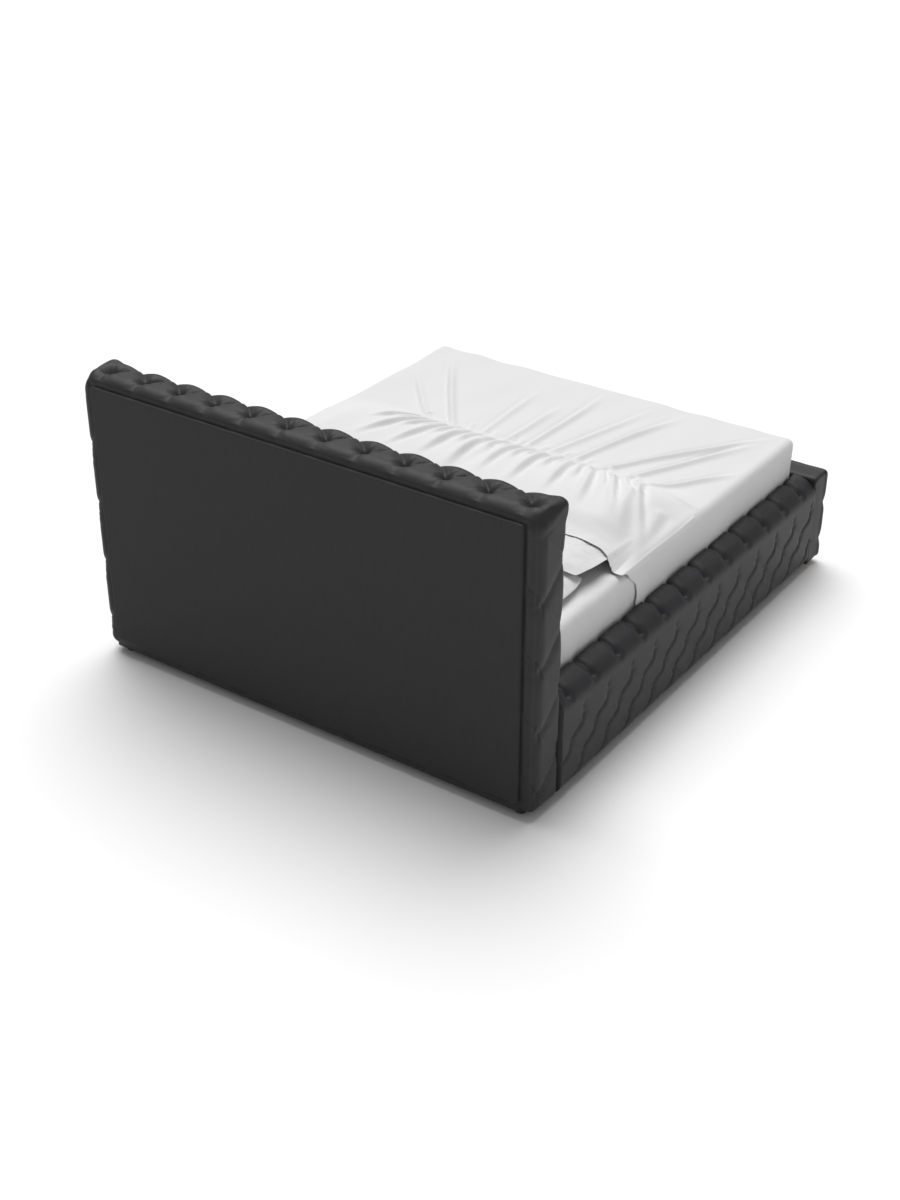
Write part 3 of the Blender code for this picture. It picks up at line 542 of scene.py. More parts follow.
def rail_quilting(tufting, seed, heights, inner_edge):
    """A rail's pleats and tufts, by place along the bed and distance round the skin."""
    quilt = Quilting(tufting, 0.042, seed)
    top_row = heights[0]
    for j in range(-2, 14):
        column = RAIL_FIRST_COLUMN - 2 * HALF_PITCH * j
        quilt.pleat((column, top_row), (column, inner_edge - 0.01), 0.8, 0.9, 1.15, 0.030)
        quilt.tuft((column, top_row), (0, 1), 0.46)
        quilt.pleat((column - HALF_PITCH + 0.008, heights[1] - 0.052), (column - HALF_PITCH, heights[1]),
                    0.1, 0.3, 0.50, 0.024)
        for i, travelled in enumerate(heights[1:], 1):
            place = column - HALF_PITCH * (i % 2)
            quilt.tuft((place, travelled), (0, 1), 0.26)
            if i + 1 < len(heights):
                below = heights[i + 1]
                quilt.swept_pleat((place, travelled), (place + HALF_PITCH, below), 0.10, 0.58, 0.022)
                quilt.pleat((place, travelled), (place - HALF_PITCH, below), 0.28, 0.28, 0.10)
    return quilt


def build_rail(tufting, word, side, material):
    """One side rail's padded cover, swept along the bed round its core and open underneath."""
    skin = rail_outline(RAIL_RADIUS, RAIL_INNER_RADIUS, 0.0065)
    steps = np.linalg.norm(np.diff(skin, axis=0), axis=1)
    travel = np.concatenate([[0], np.cumsum(steps)])
    ways = np.gradient(skin, travel, axis=0)
    ways = np.stack([-ways[:, 1], ways[:, 0]], 1)
    ways /= np.linalg.norm(ways, axis=1, keepdims=True)
    core_top = RAIL_CORE_HIGH.z + CLEARANCE
    core_inner = RAIL_CORE_LOW.x - CLEARANCE
    hollow = [(RAIL_CORE_HIGH.x + CLEARANCE, core_top), (core_inner, core_top), (core_inner, RAIL_LOW.z)]
    ring = [*skin, *hollow]

    bm = bmesh.new()
    verts = [bm.verts.new((x, RAIL_LOW.y, z)) for x, z in ring]
    edges = [bm.edges.new((a, b)) for a, b in zip(verts, verts[1:] + verts[:1])]
    count = round((RAIL_HIGH.y - RAIL_LOW.y) / 0.006)
    bmesh.ops.spin(bm, geom=verts + edges, cent=(0, 0, 0), axis=(0, 1, 0), angle=0.0, steps=count,
                   dvec=(0, (RAIL_HIGH.y - RAIL_LOW.y) / count, 0), use_duplicate=False)
    bmesh.ops.remove_doubles(bm, verts=bm.verts, dist=1e-5)
    bm.verts.index_update()

    # each vertex finds its place on the skin, measured along the cross-section
    points = read_points(bm)
    nearest = nearest_marks(points, skin)
    on_skin = np.abs(points[:, ::2] - skin[nearest]).sum(1) < 1e-4
    flat = np.stack([points[:, 1], travel[nearest]], 1)

    def travel_at_height(z):
        """Distance along the skin to a height on the outer face."""
        start = int(np.argmax(skin[:, 0] >= RAIL_HIGH.x - 1e-6))
        return travel[start] + (skin[start, 1] - z)

    top_row = travel[int(np.argmin(np.abs(skin[:, 0] - (RAIL_HIGH.x - tufting.rail_top_row))
                                   + 9 * (skin[:, 1] < RAIL_HIGH.z - 0.02)))]
    inner_edge = travel[int(np.argmax(skin[:, 1] > RAIL_HIGH.z - 1e-6))]
    rows = [tufting.rail_first_row - i * tufting.rail_row_pitch for i in range(3)]
    heights = [top_row] + [travel_at_height(z) for z in rows]
    bottom = travel_at_height(RAIL_LOW.z + RAIL_RADIUS) + RAIL_RADIUS * math.pi / 2 - 0.012
    heights.append(bottom)
    quilt = rail_quilting(tufting, 23 + side, heights, inner_edge)
    depth = quilt.depth(flat) * on_skin
    lift = (0.6 * tufting.swell - depth + 0.7 * quilt.wrinkles(flat)) * on_skin
    # flat against the mattress, and square where it butts the headboard and footboard
    lift *= soft_step(travel[nearest], inner_edge - 0.03, inner_edge + 0.004)
    lift *= 1 - soft_step(travel[nearest], bottom + 0.02, bottom + 0.05)
    moved = points.copy()
    moved[:, ::2] += ways[nearest] * lift[:, None]
    crown = soft_step(travel[nearest], inner_edge - 0.045, inner_edge) * (1 - soft_step(
        travel[nearest], inner_edge + 0.010, top_row + 0.010))
    moved[:, 2] += RAIL_CROWN * crown * on_skin
    moved[:, 2] = np.where(on_skin, np.maximum(moved[:, 2], RAIL_ABOVE_FLOOR), moved[:, 2])
    moved[:, 0] *= side
    write_points(bm, moved)
    crease_quads(bm, depth)
    bmesh.ops.holes_fill(bm, edges=open_edges(bm), sides=0)
    bmesh.ops.recalc_face_normals(bm, faces=bm.faces)
    piece = finish_piece(f"side_rail_upholstery_{word}", bm, material,
                         [f"side_rail_cover_{word}", f"side_rail_foam_{word}"])
    return piece


# ---------------------------------------------------------------- footboard

FOOT_RADIUS = 0.016         # of the footboard's edges
FOOT_TOP_ROW = 0.381        # height of its highest row of tufts
FOOT_ROW_PITCH = 0.088      # between its rows

def foot_quilting(tufting):
    """The footboard's pleats and tufts: diamonds outside, and two soft pulls at each end."""
    quilt = Quilting(tufting, 0.050, 31)
    rows = [FOOT_TOP_ROW - FOOT_ROW_PITCH * i for i in range(5)]
    outer = FOOT_LOW.y
    for i, z in enumerate(rows):
        places = even_places() if i % 2 else odd_places()
        for x in places:
            if abs(x) > FOOT_HIGH.x - 0.03:
                continue
            quilt.tuft((x, outer, z), (0, 2), 0.40)
            for step in (-1, 1):
                if i + 1 < len(rows):
                    quilt.pleat((x, outer, z), (x + step * HALF_PITCH, outer, rows[i + 1]), 0.55, 0.55,
                                0.75 if step > 0 else 0.35)
        if i == 0:
            for x in places:
                quilt.pleat((x, outer, z), (x, outer, FOOT_HIGH.z - 0.012), 0.6, 0.1, 0.4)
    for side in (-1, 1):
        end = side * FOOT_HIGH.x
        quilt.tuft((end, FOOT_HIGH.y - 0.012, 0.395), (1, 2), 0.28)
        quilt.tuft((end, FOOT_HIGH.y - 0.016, 0.135), (1, 2), 0.30)
        quilt.pleat((end, FOOT_HIGH.y - 0.012, 0.395), (end, FOOT_HIGH.y - 0.028, 0.200), 0.25, 0.15, 0.35)
        quilt.pleat((end, FOOT_HIGH.y - 0.016, 0.135), (end, FOOT_HIGH.y - 0.060, 0.045), 0.3, 0.1, 0.3)
    return quilt


def build_footboard(tufting, material):
    """The footboard's padded cover: a plain top and ends, tufted outside, hollow underneath."""
    across = np.linspace(FOOT_LOW.x, FOOT_HIGH.x, HALF_PITCHES * 14 + 1)
    deep = spaced(FOOT_LOW.y, FOOT_HIGH.y, 0.0075)
    height = spaced(FOOT_LOW.z, FOOT_HIGH.z, 0.007)
    hole_low = Vector((FOOT_CORE_LOW.x - CLEARANCE, FOOT_CORE_LOW.y - CLEARANCE, 0))
    hole_high = Vector((FOOT_CORE_HIGH.x + CLEARANCE, FOOT_CORE_HIGH.y + CLEARANCE, 0))
    across = snapped(across, hole_low.x, hole_high.x)
    deep = snapped(deep, hole_low.y, hole_high.y)
    bm = gridded_box(across, deep, height)
    base = read_points(bm)
    shape, way = rounded(base, FOOT_LOW, FOOT_HIGH, FOOT_RADIUS)
    # the hollow's rim stays where the box has it
    rim = base[:, 2] < FOOT_LOW.z + 1e-4
    shape = np.where(rim[:, None] & (np.abs(base[:, 0:1]) <= hole_high.x + 1e-4)
                     & (base[:, 1:2] >= hole_low.y - 1e-4) & (base[:, 1:2] <= hole_high.y + 1e-4),
                     base, shape)

    quilt = foot_quilting(tufting)
    depth = quilt.depth(base)
    on_outer = 1 - soft_step(base[:, 1], FOOT_LOW.y + 0.004, FOOT_LOW.y + 0.030)
    on_end = soft_step(np.abs(base[:, 0]), FOOT_HIGH.x - 0.020, FOOT_HIGH.x - 0.002)
    inside = base[:, 1] > FOOT_HIGH.y - 1e-4
    crown = 1 - np.abs(2 * (base[:, 1] - FOOT_LOW.y) / (FOOT_HIGH.y - FOOT_LOW.y) - 1) ** 4
    on_top = soft_step(base[:, 2], FOOT_HIGH.z - 0.01, FOOT_HIGH.z - 0.001)
    lift = (tufting.swell - depth + quilt.wrinkles(base)) * np.maximum(on_outer, 0.35 * on_end)
    lift = np.where((on_top > 0.5) & (on_outer < 0.5), 0.003 * crown, lift)
    lift = np.where(inside | rim, 0.0, lift)
    write_points(bm, shape + way * lift[:, None])
    crease_quads(bm, depth * on_outer)
    remove_faces(bm, lambda c: (c.z < FOOT_LOW.z + 0.002 and hole_low.x < c.x < hole_high.x
                                and hole_low.y < c.y < hole_high.y))
    push_edges(bm, open_edges(bm), lambda co: Vector((co.x, co.y, FOOT_CORE_HIGH.z + CLEARANCE)))
    bmesh.ops.holes_fill(bm, edges=open_edges(bm), sides=0)
    bmesh.ops.recalc_face_normals(bm, faces=bm.faces)
    piece = finish_piece("footboard_upholstery", bm, material,
                         ["footboard_cover", "footboard_outer_foam", "footboard_top_foam"])
    return piece


# ---------------------------------------------------------------- mattress and bedding

def build_mattress(material):
    """The mattress: a firm box with a taped edge round its top and bottom and quilted faces."""
    bm = gridded_box(spaced(MATTRESS_LOW.x, MATTRESS_HIGH.x, 0.02),
                     spaced(MATTRESS_LOW.y, MATTRESS_HIGH.y, 0.02),
                     spaced(MATTRESS_LOW.z, MATTRESS_HIGH.z, 0.008))
    base = read_points(bm)
    shape, way = rounded(base, MATTRESS_LOW, MATTRESS_HIGH, 0.033)
    flat_face = np.abs(way[:, 2]) > 0.98
    quilted = np.abs(np.sin(math.pi * (base[:, 0] + base[:, 1]) / 0.16)
                     * np.sin(math.pi * (base[:, 0] - base[:, 1]) / 0.16)) ** 0.5
    lift = np.where(flat_face, -0.004 * (1 - quilted), 0.0)
    for edge in (MATTRESS_LOW.z + 0.034, MATTRESS_HIGH.z - 0.034):
        lift += 0.0022 * np.exp(-((base[:, 2] - edge) / 0.006) ** 2) * ~flat_face - 0.0004
    write_points(bm, shape + way * lift[:, None])
    piece = finish_piece("mattress_quilted", bm, material, ["mattress"])
    return piece


def waves(points, seed, size, count=10):
    """A soft random waviness between about -1 and 1, with bumps about size apart."""
    random = np.random.RandomState(seed)
    total = np.zeros(len(points))
    for _ in range(count):
        way = random.normal(size=3)
        way *= random.uniform(0.6, 1.4) * 2 * math.pi / size / np.linalg.norm(way)
        total += np.sin(points @ way + random.uniform(0, 6.3))
    return total / math.sqrt(count)


def stretched_box(low, high, step, radius, open_head):
    """A boxed sheet, open underneath and, for the bed cover, at the head end."""
    bm = gridded_box(spaced(low.x, high.x, step), spaced(low.y, high.y, step), spaced(low.z, high.z, step))
    remove_faces(bm, lambda c: c.z < low.z + 1e-4 or (open_head and c.y > high.y - 1e-4))
    loose = [v for v in bm.verts if not v.link_faces]
    bmesh.ops.delete(bm, geom=loose, context="VERTS")
    base = read_points(bm)
    shape, way = rounded(base, low, high, radius, low_margin=(1, 1, 0),
                         high_margin=(1, 0 if open_head else 1, 1))
    return bm, base, shape, way


def build_sheet(material):
    """The fitted sheet, stretched over the mattress and tucked under its edge."""
    bm, base, shape, way = stretched_box(SHEET_LOW, SHEET_HIGH, 0.0125, 0.036, False)
    below = SHEET_HIGH.z - base[:, 2]
    side = soft_step(below, 0.02, 0.12)
    run = base[:, 1] + 0.7 * base[:, 0]
    tucks = np.sin(run / 0.021 + 2.0 * waves(base, 3, 0.35)) * np.clip(waves(base, 5, 0.30), 0, 1)
    lift = 0.0016 * side * tucks + 0.0009 * waves(base, 8, 0.12) - 0.0004
    moved = shape + way * lift[:, None]
    write_points(bm, moved)
    hem = push_edges(bm, open_edges(bm), lambda co: Vector((co.x * 0.9995, co.y * 0.9995, co.z - 0.003)))
    push_edges(bm, hem, lambda co: Vector((co.x * 0.9975, co.y * 0.9975, co.z)))
    piece = finish_piece("fitted_sheet_stretched", bm, material, ["fitted_sheet"])
    return piece


SIDE_SHIFTS = (-0.028, -0.014, 0.0, 0.014, 0.028)     # sideways places whose height the cover clears
GATHER_LINE = -0.285        # where the bed cover's folds start, footward of the upper pillows
GATHER_STEP = 0.118         # between one gathered fold and the next
GATHER_FIRST = -0.615       # the gathered fold nearest the left edge


def cover_folds():
    """The bed cover's folds as (start, end, height share, width share), in plan."""
    folds = []
    feet = [(-0.88, -0.60), (-0.83, -0.90), (-0.85, -0.99), (-0.42, -0.97), (-0.27, -0.96),
            (-0.02, -0.97), (0.06, -0.78), (0.22, -0.86), (0.80, -0.98), (0.86, -0.74)]
    for i, foot in enumerate(feet):
        x = GATHER_FIRST + i * GATHER_STEP
        y = GATHER_LINE + (0.028 if i < 2 else 0.0) - 0.012 * (i % 2)
        folds.append(((x, y), foot, 1.05 if i in (0, 1, 2, 3, 5, 8) else 0.7, 1.0))
        away = (x - 0.15) * 0.30
        folds.append(((x - 0.004, y + 0.012), (x + away - 0.02, y + 0.48), 1.15, 1.15))
        folds.append(((x + 0.030, y + 0.004), (x + 0.034 + away * 0.5, y + 0.18), 0.8, 0.8))
        folds.append(((x + 0.070, y - 0.002), (x + 0.072 + away * 0.7, y + 0.27), 1.0, 0.9))
        folds.append(((x + 0.050, y + 0.006), (x + 0.062, y - 0.10), 0.45, 0.8))
    folds.append(((-0.70, -0.245), (-0.90, -0.225), 0.5, 1.0))
    folds.append(((-0.66, -0.10), (-0.80, 0.30), 0.9, 2.2))
    folds.append(((-0.80, -0.05), (-0.89, 0.25), 0.7, 1.8))
    return folds


def fold_height(points, bedding):
    """How far the bed cover's folds stand above its rest surface."""
    total = np.zeros(len(points))
    plan = points[:, :2]
    for start, end, tall, broad in cover_folds():
        start, end = np.array(start), np.array(end)
        run = end - start
        size = np.linalg.norm(run)
        along = (plan - start) @ run / size ** 2
        across = ((plan - start) @ np.array([-run[1], run[0]])) / size
        across = across + 0.012 * np.sin(along * 3.0 + start[0] * 9)
        taper = soft_step(along, -0.08, 0.10) * (1 - soft_step(along, 0.55, 1.05))
        width = bedding.fold_width * broad * (1 + 0.35 * np.clip(along, 0, 1))
        slope = np.where(across > 0, np.exp(-(across / (0.55 * width)) ** 2), np.exp(-(across / width) ** 2))
        dip = 0.45 * np.exp(-((across - 1.25 * width) / (0.6 * width)) ** 2)
        total += bedding.fold_height * tall * taper * (slope - dip)
    return total


def cover_rise(base):
    """How far the bed cover rises over the upper pillows, by place in plan."""
    past = base[:, 1] - GATHER_LINE
    past = 0.5 * (past + np.sqrt(past ** 2 + 0.050 ** 2)) - 0.010
    rise = 0.112 * (1 - np.exp(-np.maximum(past, 0) / 0.155))
    edge = 1 - soft_step(np.abs(base[:, 0]), 0.66, 0.95)
    between = 1 - 0.16 * np.exp(-(base[:, 0] / 0.05) ** 2) * soft_step(past, 0.10, 0.30)
    return rise * edge * between


def resting_height(points, pieces, level):
    """Height of the pieces' top under each point, or a level where there is none, widened and evened out
    sideways so that cloth at that height clears their sides and falls off softly beside them."""
    graph = bpy.context.evaluated_depsgraph_get()
    trees = [BVHTree.FromObject(piece, graph) for piece in pieces]
    down = Vector((0, 0, -1))
    rows = np.full((len(SIDE_SHIFTS), len(points)), level)
    for row, shift in zip(rows, SIDE_SHIFTS):
        for i, (x, y, _) in enumerate(points):
            hits = [tree.ray_cast(Vector((x + shift, y, 2.0)), down)[0] for tree in trees]
            row[i] = max([level] + [hit.z for hit in hits if hit])
    return np.mean([rows[i:i + 3].max(0) for i in range(len(rows) - 2)], axis=0)


def build_cover(bedding, pillows, material):
    """The bed cover: boxed over mattress and upper pillows, gathered into folds where the pillows start."""
    low = Vector((COVER_LOW.x, COVER_LOW.y - 0.006, COVER_LOW.z + 0.004))
    high = Vector((COVER_HIGH.x, COVER_HIGH.y, SHEET_HIGH.z + 0.004))
    bm, base, shape, way = stretched_box(low, high, 0.0066, bedding.cover_rounding, True)
    up = soft_step(base[:, 2], high.z - 0.12, high.z - 0.01)
    on_top = base[:, 2] > high.z - 1e-4
    edge_fade = 1 - soft_step(np.abs(base[:, 0]), 0.84, 0.90)
    folds = fold_height(base, bedding) * on_top * edge_fade
    lift = 0.0018 * waves(base, 21, 0.22)
    side = soft_step(high.z - base[:, 2], 0.02, 0.10) * (1 - on_top)
    lift += side * 0.0032 * np.clip(waves(base * np.array([1, 1, 0.2]), 25, 0.26), -0.5, 1)
    moved = shape + way * (lift + 0.0015)[:, None]
    moved[:, 2] += cover_rise(base) * up + folds
    over = (base[:, 1] > UPPER_PILLOW_FOOT) & on_top
    rest = resting_height(moved[over], pillows, high.z) + 0.004
    share = soft_step(base[over, 1], high.y - 0.17, high.y - 0.02)
    level = np.maximum(moved[over, 2], rest)
    moved[over, 2] = level + (rest - level) * share
    # the head hem: straight across the top, slanting footward down each side, with small scallops
    reach = soft_step(base[:, 1], high.y - 0.30, high.y)
    drop = soft_step(high.z - base[:, 2], 0.0, 0.10)
    scallop = 0.005 * np.abs(np.sin((base[:, 0] + base[:, 2] * 2) * math.pi / 0.12))
    moved[:, 1] += reach * (0.030 * (1 - drop) * on_top * soft_step(np.abs(base[:, 0]), 0.78, 0.88)
                            - 0.070 * drop - scallop * (0.3 + drop))
    write_points(bm, moved)
    hem_edges = open_edges(bm)
    centre = Vector((0, -0.35, 0.5))

    def tuck(co):
        """The hem's inner face, just inside its edge."""
        inward = centre - co
        inward.z = 0
        return co + inward.normalized() * 0.004
    push_edges(bm, hem_edges, tuck)
    piece = finish_piece("bed_cover_draped", bm, material, ["bed_cover"])
    wide, long, drop = high.x - low.x, high.y - low.y, high.z - low.z
    return piece


def pillow_shape(low, high, tilt, step):
    """A pillow as two sewn panels: full in the middle, thin at the seam, with blunt corners."""
    middle, half = (low + high) / 2, (high - low) / 2
    bm = gridded_box(spaced(-half.x, half.x, step), spaced(-half.y, half.y, step), np.array([-1.0, 1.0]))
    base = read_points(bm)
    u, v = base[:, 0] / half.x, base[:, 1] / half.y
    fullness = (np.maximum(1 - np.abs(u) ** 3.4, 0) * np.maximum(1 - np.abs(v) ** 3.4, 0)) ** 0.5
    shape = base.copy()
    shape[:, 0] = base[:, 0] * (1 - 0.06 * v ** 4)
    shape[:, 1] = base[:, 1] * (1 - 0.09 * u ** 4)
    rise = math.sin(tilt) * half.y
    shape[:, 2] = base[:, 2] * (0.002 + fullness * (half.z - rise - 0.002))
    return bm, shape, Vector(middle)


def puffed(piece, pressure, cap):
    """Swells a pillow with cloth simulation and applies it, moving no point further than cap."""
    before = np.array([v.co for v in piece.data.vertices], float)
    cloth = piece.modifiers.new("swelling", "CLOTH")
    cloth.settings.quality = 6
    cloth.settings.mass = 0.25
    cloth.settings.tension_stiffness = 12
    cloth.settings.compression_stiffness = 12
    cloth.settings.shear_stiffness = 6
    cloth.settings.bending_stiffness = 0.25
    cloth.settings.use_pressure = True
    cloth.settings.uniform_pressure_force = pressure
    cloth.settings.effector_weights.gravity = 0.0
    cloth.settings.shrink_min = -0.02
    cloth.point_cache.frame_start, cloth.point_cache.frame_end = 1, 20
    scene = bpy.context.scene
    for step in range(1, 21):
        scene.frame_set(step)
    evaluated = piece.evaluated_get(bpy.context.evaluated_depsgraph_get())
    after = np.array([v.co for v in evaluated.data.vertices], float)
    piece.modifiers.remove(cloth)
    scene.frame_set(1)
    shift = after - before
    size = np.linalg.norm(shift, axis=1, keepdims=True)
    shift *= np.minimum(1, cap / np.maximum(size, 1e-9))
    piece.data.vertices.foreach_set("co", (before + shift).astype(np.float32).ravel())
    piece.data.update()


def build_pillow(node, tilt, droop, crumple, material):
    """One pillow in the place of its CAD node, with crumpled cotton over a soft filling. Its sides droop."""
    low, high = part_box(node)
    bm, shape, middle = pillow_shape(low, high, tilt, 0.011)
    write_points(bm, shape)
    bmesh.ops.recalc_face_normals(bm, faces=bm.faces)
    piece = finish_piece(node + "_filled", bm, material, [node])
    puffed(piece, 3.0, 0.02)
    points = np.array([v.co for v in piece.data.vertices], float)
    half = (high - low) / 2
    rise = math.sin(tilt) * half.y
    tall = half.z - rise - 0.001
    points[:, 2] *= tall / np.abs(points[:, 2]).max()
    points[:, :2] *= np.minimum(1, (np.array(half[:2]) - 0.001) / np.abs(points[:, :2]).max(0))
    seam = np.clip(np.abs(points[:, 2]) / tall, 0, 1)
    crinkle = crumple * waves(points, 41, 0.045, 16) + 0.6 * crumple * waves(points, 42, 0.020, 16)
    points[:, 2] += np.sign(points[:, 2]) * (crinkle - crumple) * seam ** 0.5
    points[:, 2] -= droop * soft_step(np.abs(points[:, 0]), half.x * 0.62, half.x)
    turn = np.array([[1, 0, 0], [0, math.cos(tilt), math.sin(tilt)], [0, -math.sin(tilt), math.cos(tilt)]])
    points = points @ turn + np.array(middle)
    piece.data.vertices.foreach_set("co", points.astype(np.float32).ravel())
    piece.data.update()
    smooth = piece.modifiers.new("finer", "SUBSURF")
    smooth.levels = smooth.render_levels = 1
    return piece


# ---------------------------------------------------------------- materials

def add(tree, kind, settings=None, links=None):
    """Adds a shader node, sets its values, and links its inputs from other nodes' outputs."""
    node = tree.nodes.new(kind)
    for key, value in (settings or {}).items():
        if isinstance(key, str) and hasattr(node, key):
            setattr(node, key, value)
        else:
            node.inputs[key].default_value = value
    for key, source in (links or {}).items():
        tree.links.new(source, node.inputs[key])
    return node


def new_material(name):
    """An empty material, its node tree, and the place on the object that its textures use."""
    material = bpy.data.materials.new(name)
    material.use_nodes = True
    tree = material.node_tree
    tree.nodes.clear()
    return material, tree, add(tree, "ShaderNodeTexCoord").outputs["Object"]


def close_material(material, settings, links=None):
    """Ends a material with one principled shader, and returns it."""
    shader = add(material.node_tree, "ShaderNodeBsdfPrincipled", settings, links)
    add(material.node_tree, "ShaderNodeOutputMaterial", links={"Surface": shader.outputs[0]})
    return material


def stretched(tree, place, scale):
    """The place scaled along each axis."""
    return add(tree, "ShaderNodeMapping", {"Scale": scale}, {"Vector": place}).outputs[0]


def noise(tree, place, scale, detail, **more):
    """Soft random blotches."""
    settings = {"Scale": scale, "Detail": detail, **more}
    return add(tree, "ShaderNodeTexNoise", settings, {"Vector": place}).outputs["Fac"]


def relief(tree, height, strength, distance, **links):
    """A normal for small bumps of a given strength and height."""
    settings = {"Strength": strength, "Distance": distance}
    return add(tree, "ShaderNodeBump", settings, {"Height": height, **links}).outputs["Normal"]


def blend(tree, share, first, second):
    """A colour between two others, by a share."""
    mix = add(tree, "ShaderNodeMix", {"data_type": "RGBA"}, {0: share})
    mix.inputs[6].default_value, mix.inputs[7].default_value = first, second
    return mix.outputs[2]


def opaque(rgb, share=1.0):
    """A colour with its alpha, darkened or lightened by a share."""
    return (*[min(1.0, c * share) for c in rgb], 1.0)


def velvet_material(rgb):
    """Charcoal polyester velvet, woven and cut to a short pile. The pile scatters light along its tips,
    so folds turned from the eye look paler than the flat cloth, and brushed patches vary slightly."""
    material, tree, place = new_material("charcoal_cut_velvet")
    shade = add(tree, "ShaderNodeValToRGB", links={"Fac": noise(tree, place, 9.0, 3.0, Roughness=0.55)})
    for element, position, share in zip(shade.color_ramp.elements, (0.35, 0.70), (0.88, 1.12)):
        element.position, element.color = position, opaque(rgb, share)
    return close_material(
        material, {"Roughness": 0.52, "IOR": 1.50, "Specular IOR Level": 0.26, "Sheen Weight": 0.05,
                   "Sheen Roughness": 0.35, "Sheen Tint": (0.85, 0.86, 0.88, 1.0)},
        {"Base Color": shade.outputs["Color"],
         "Normal": relief(tree, noise(tree, place, 420.0, 2.0), 0.25, 0.0012)})


def back_cloth_material(rgb):
    """Woven polyester backing cloth, plain weave with uneven upright yarns. The yarns are 0.6 mm apart,
    drawn five times as coarse so that the weave shows as faint upright streaks."""
    material, tree, place = new_material("woven_polyester_backing")
    warp = noise(tree, stretched(tree, place, (330.0, 330.0, 9.0)), 1.0, 3.0)
    weft = noise(tree, stretched(tree, place, (14.0, 14.0, 330.0)), 1.0, 2.0)
    weave = add(tree, "ShaderNodeMath", {"operation": "MULTIPLY_ADD", 1: 0.6}, {0: weft, 2: warp}).outputs[0]
    shade = add(tree, "ShaderNodeMapRange", {"From Min": 0.5, "From Max": 1.1, "To Min": 0.0, "To Max": 1.0},
                {"Value": weave}).outputs[0]
    return close_material(
        material, {"Roughness": 0.85, "IOR": 1.50, "Specular IOR Level": 0.25, "Sheen Weight": 0.05},
        {"Base Color": blend(tree, shade, opaque(rgb, 0.90), opaque(rgb, 1.10)),
         "Normal": relief(tree, weave, 0.35, 0.0006)})


def cotton_material(name, rgb, crease_mm, crease_depth):
    """Bleached cotton percale, woven and washed. Threads 0.2 mm apart are too fine to see, so the surface
    reads as matt white with soft laundered creases."""
    material, tree, place = new_material(name)
    crease = noise(tree, place, 1000.0 / crease_mm, 4.0, Distortion=0.6)
    soft = relief(tree, crease, 0.6, crease_depth)
    fine = relief(tree, noise(tree, place, 700.0, 1.0), 0.15, 0.0004, Normal=soft)
    return close_material(
        material, {"Base Color": opaque(rgb), "Roughness": 0.85, "IOR": 1.50, "Specular IOR Level": 0.25,
                   "Sheen Weight": 0.10}, {"Normal": fine})


def ticking_material():
    """Knitted polyester mattress ticking, off white with a fine rib."""
    material, tree, place = new_material("knitted_mattress_ticking")
    rib = add(tree, "ShaderNodeTexWave", {"Scale": 60.0, "Distortion": 1.5, "Detail": 1.0}, {"Vector": place})
    return close_material(
        material, {"Base Color": opaque(linear("dcdad4")), "Roughness": 0.9, "Specular IOR Level": 0.2},
        {"Normal": relief(tree, rib.outputs["Fac"], 0.3, 0.0008)})


def pine_material(name, rgb, grain_way):
    """Planed pine: pale sapwood with darker late-wood lines, drawn out along the board."""
    material, tree, place = new_material(name)
    scale = [14.0, 14.0, 14.0]
    scale[grain_way] = 0.8
    bend = noise(tree, stretched(tree, place, tuple(scale)), 1.2, 2.0)
    ring = add(tree, "ShaderNodeMath", {"operation": "MULTIPLY", 1: 16.0}, {0: bend})
    line = add(tree, "ShaderNodeMath", {"operation": "FRACT"}, {0: ring.outputs[0]})
    fibre = noise(tree, stretched(tree, place, tuple(s * 16 for s in scale)), 1.0, 3.0)
    return close_material(
        material, {"Roughness": 0.55, "IOR": 1.50},
        {"Base Color": blend(tree, line.outputs[0], opaque(rgb, 1.08), opaque(rgb, 0.72)),
         "Normal": relief(tree, fibre, 0.3, 0.0005)})


def fibreboard_material():
    """Medium density fibreboard, pressed and sanded: even brown with fine flecks."""
    material, tree, place = new_material("sanded_fibreboard")
    fleck = noise(tree, place, 260.0, 4.0)
    tone = blend(tree, fleck, opaque(linear("8a6b48")), opaque(linear("a98c66")))
    return close_material(material, {"Roughness": 0.8}, {"Base Color": tone})


def zinc_material():
    """Bright zinc-plated steel, pressed: cool grey with a cloudy bluish bloom."""
    material, tree, place = new_material("zinc_plated_steel")
    bloom = noise(tree, place, 90.0, 3.0)
    rough = add(tree, "ShaderNodeMapRange", {"To Min": 0.28, "To Max": 0.45}, {"Value": bloom})
    tone = blend(tree, bloom, opaque(linear("a9adb2")), opaque(linear("c8cacc")))
    return close_material(material, {"Metallic": 1.0}, {"Base Color": tone, "Roughness": rough.outputs[0]})


def nylon_material():
    """Black nylon, injection moulded with a fine spark texture: a dull, slightly waxy black."""
    material, tree, place = new_material("black_moulded_nylon")
    return close_material(
        material, {"Base Color": opaque(linear("1c1c1d")), "Roughness": 0.5, "IOR": 1.53},
        {"Normal": relief(tree, noise(tree, place, 900.0, 1.0), 0.2, 0.0003)})


def floor_material():
    """Matt white paint on a smooth studio floor, even all over, so it needs no texture."""
    material = bpy.data.materials.new("pale_floor")
    material.use_nodes = True
    material.node_tree.nodes.clear()
    return close_material(material, {"Base Color": (0.96, 0.96, 0.96, 1.0), "Roughness": 0.9,
                                     "Specular IOR Level": 0.1})


def set_material(node, material):
    """Gives a CAD node that stays one procedural material in all its slots."""
    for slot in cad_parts[node].material_slots:
        slot.link = "OBJECT"
        slot.material = material


# ---------------------------------------------------------------- operators

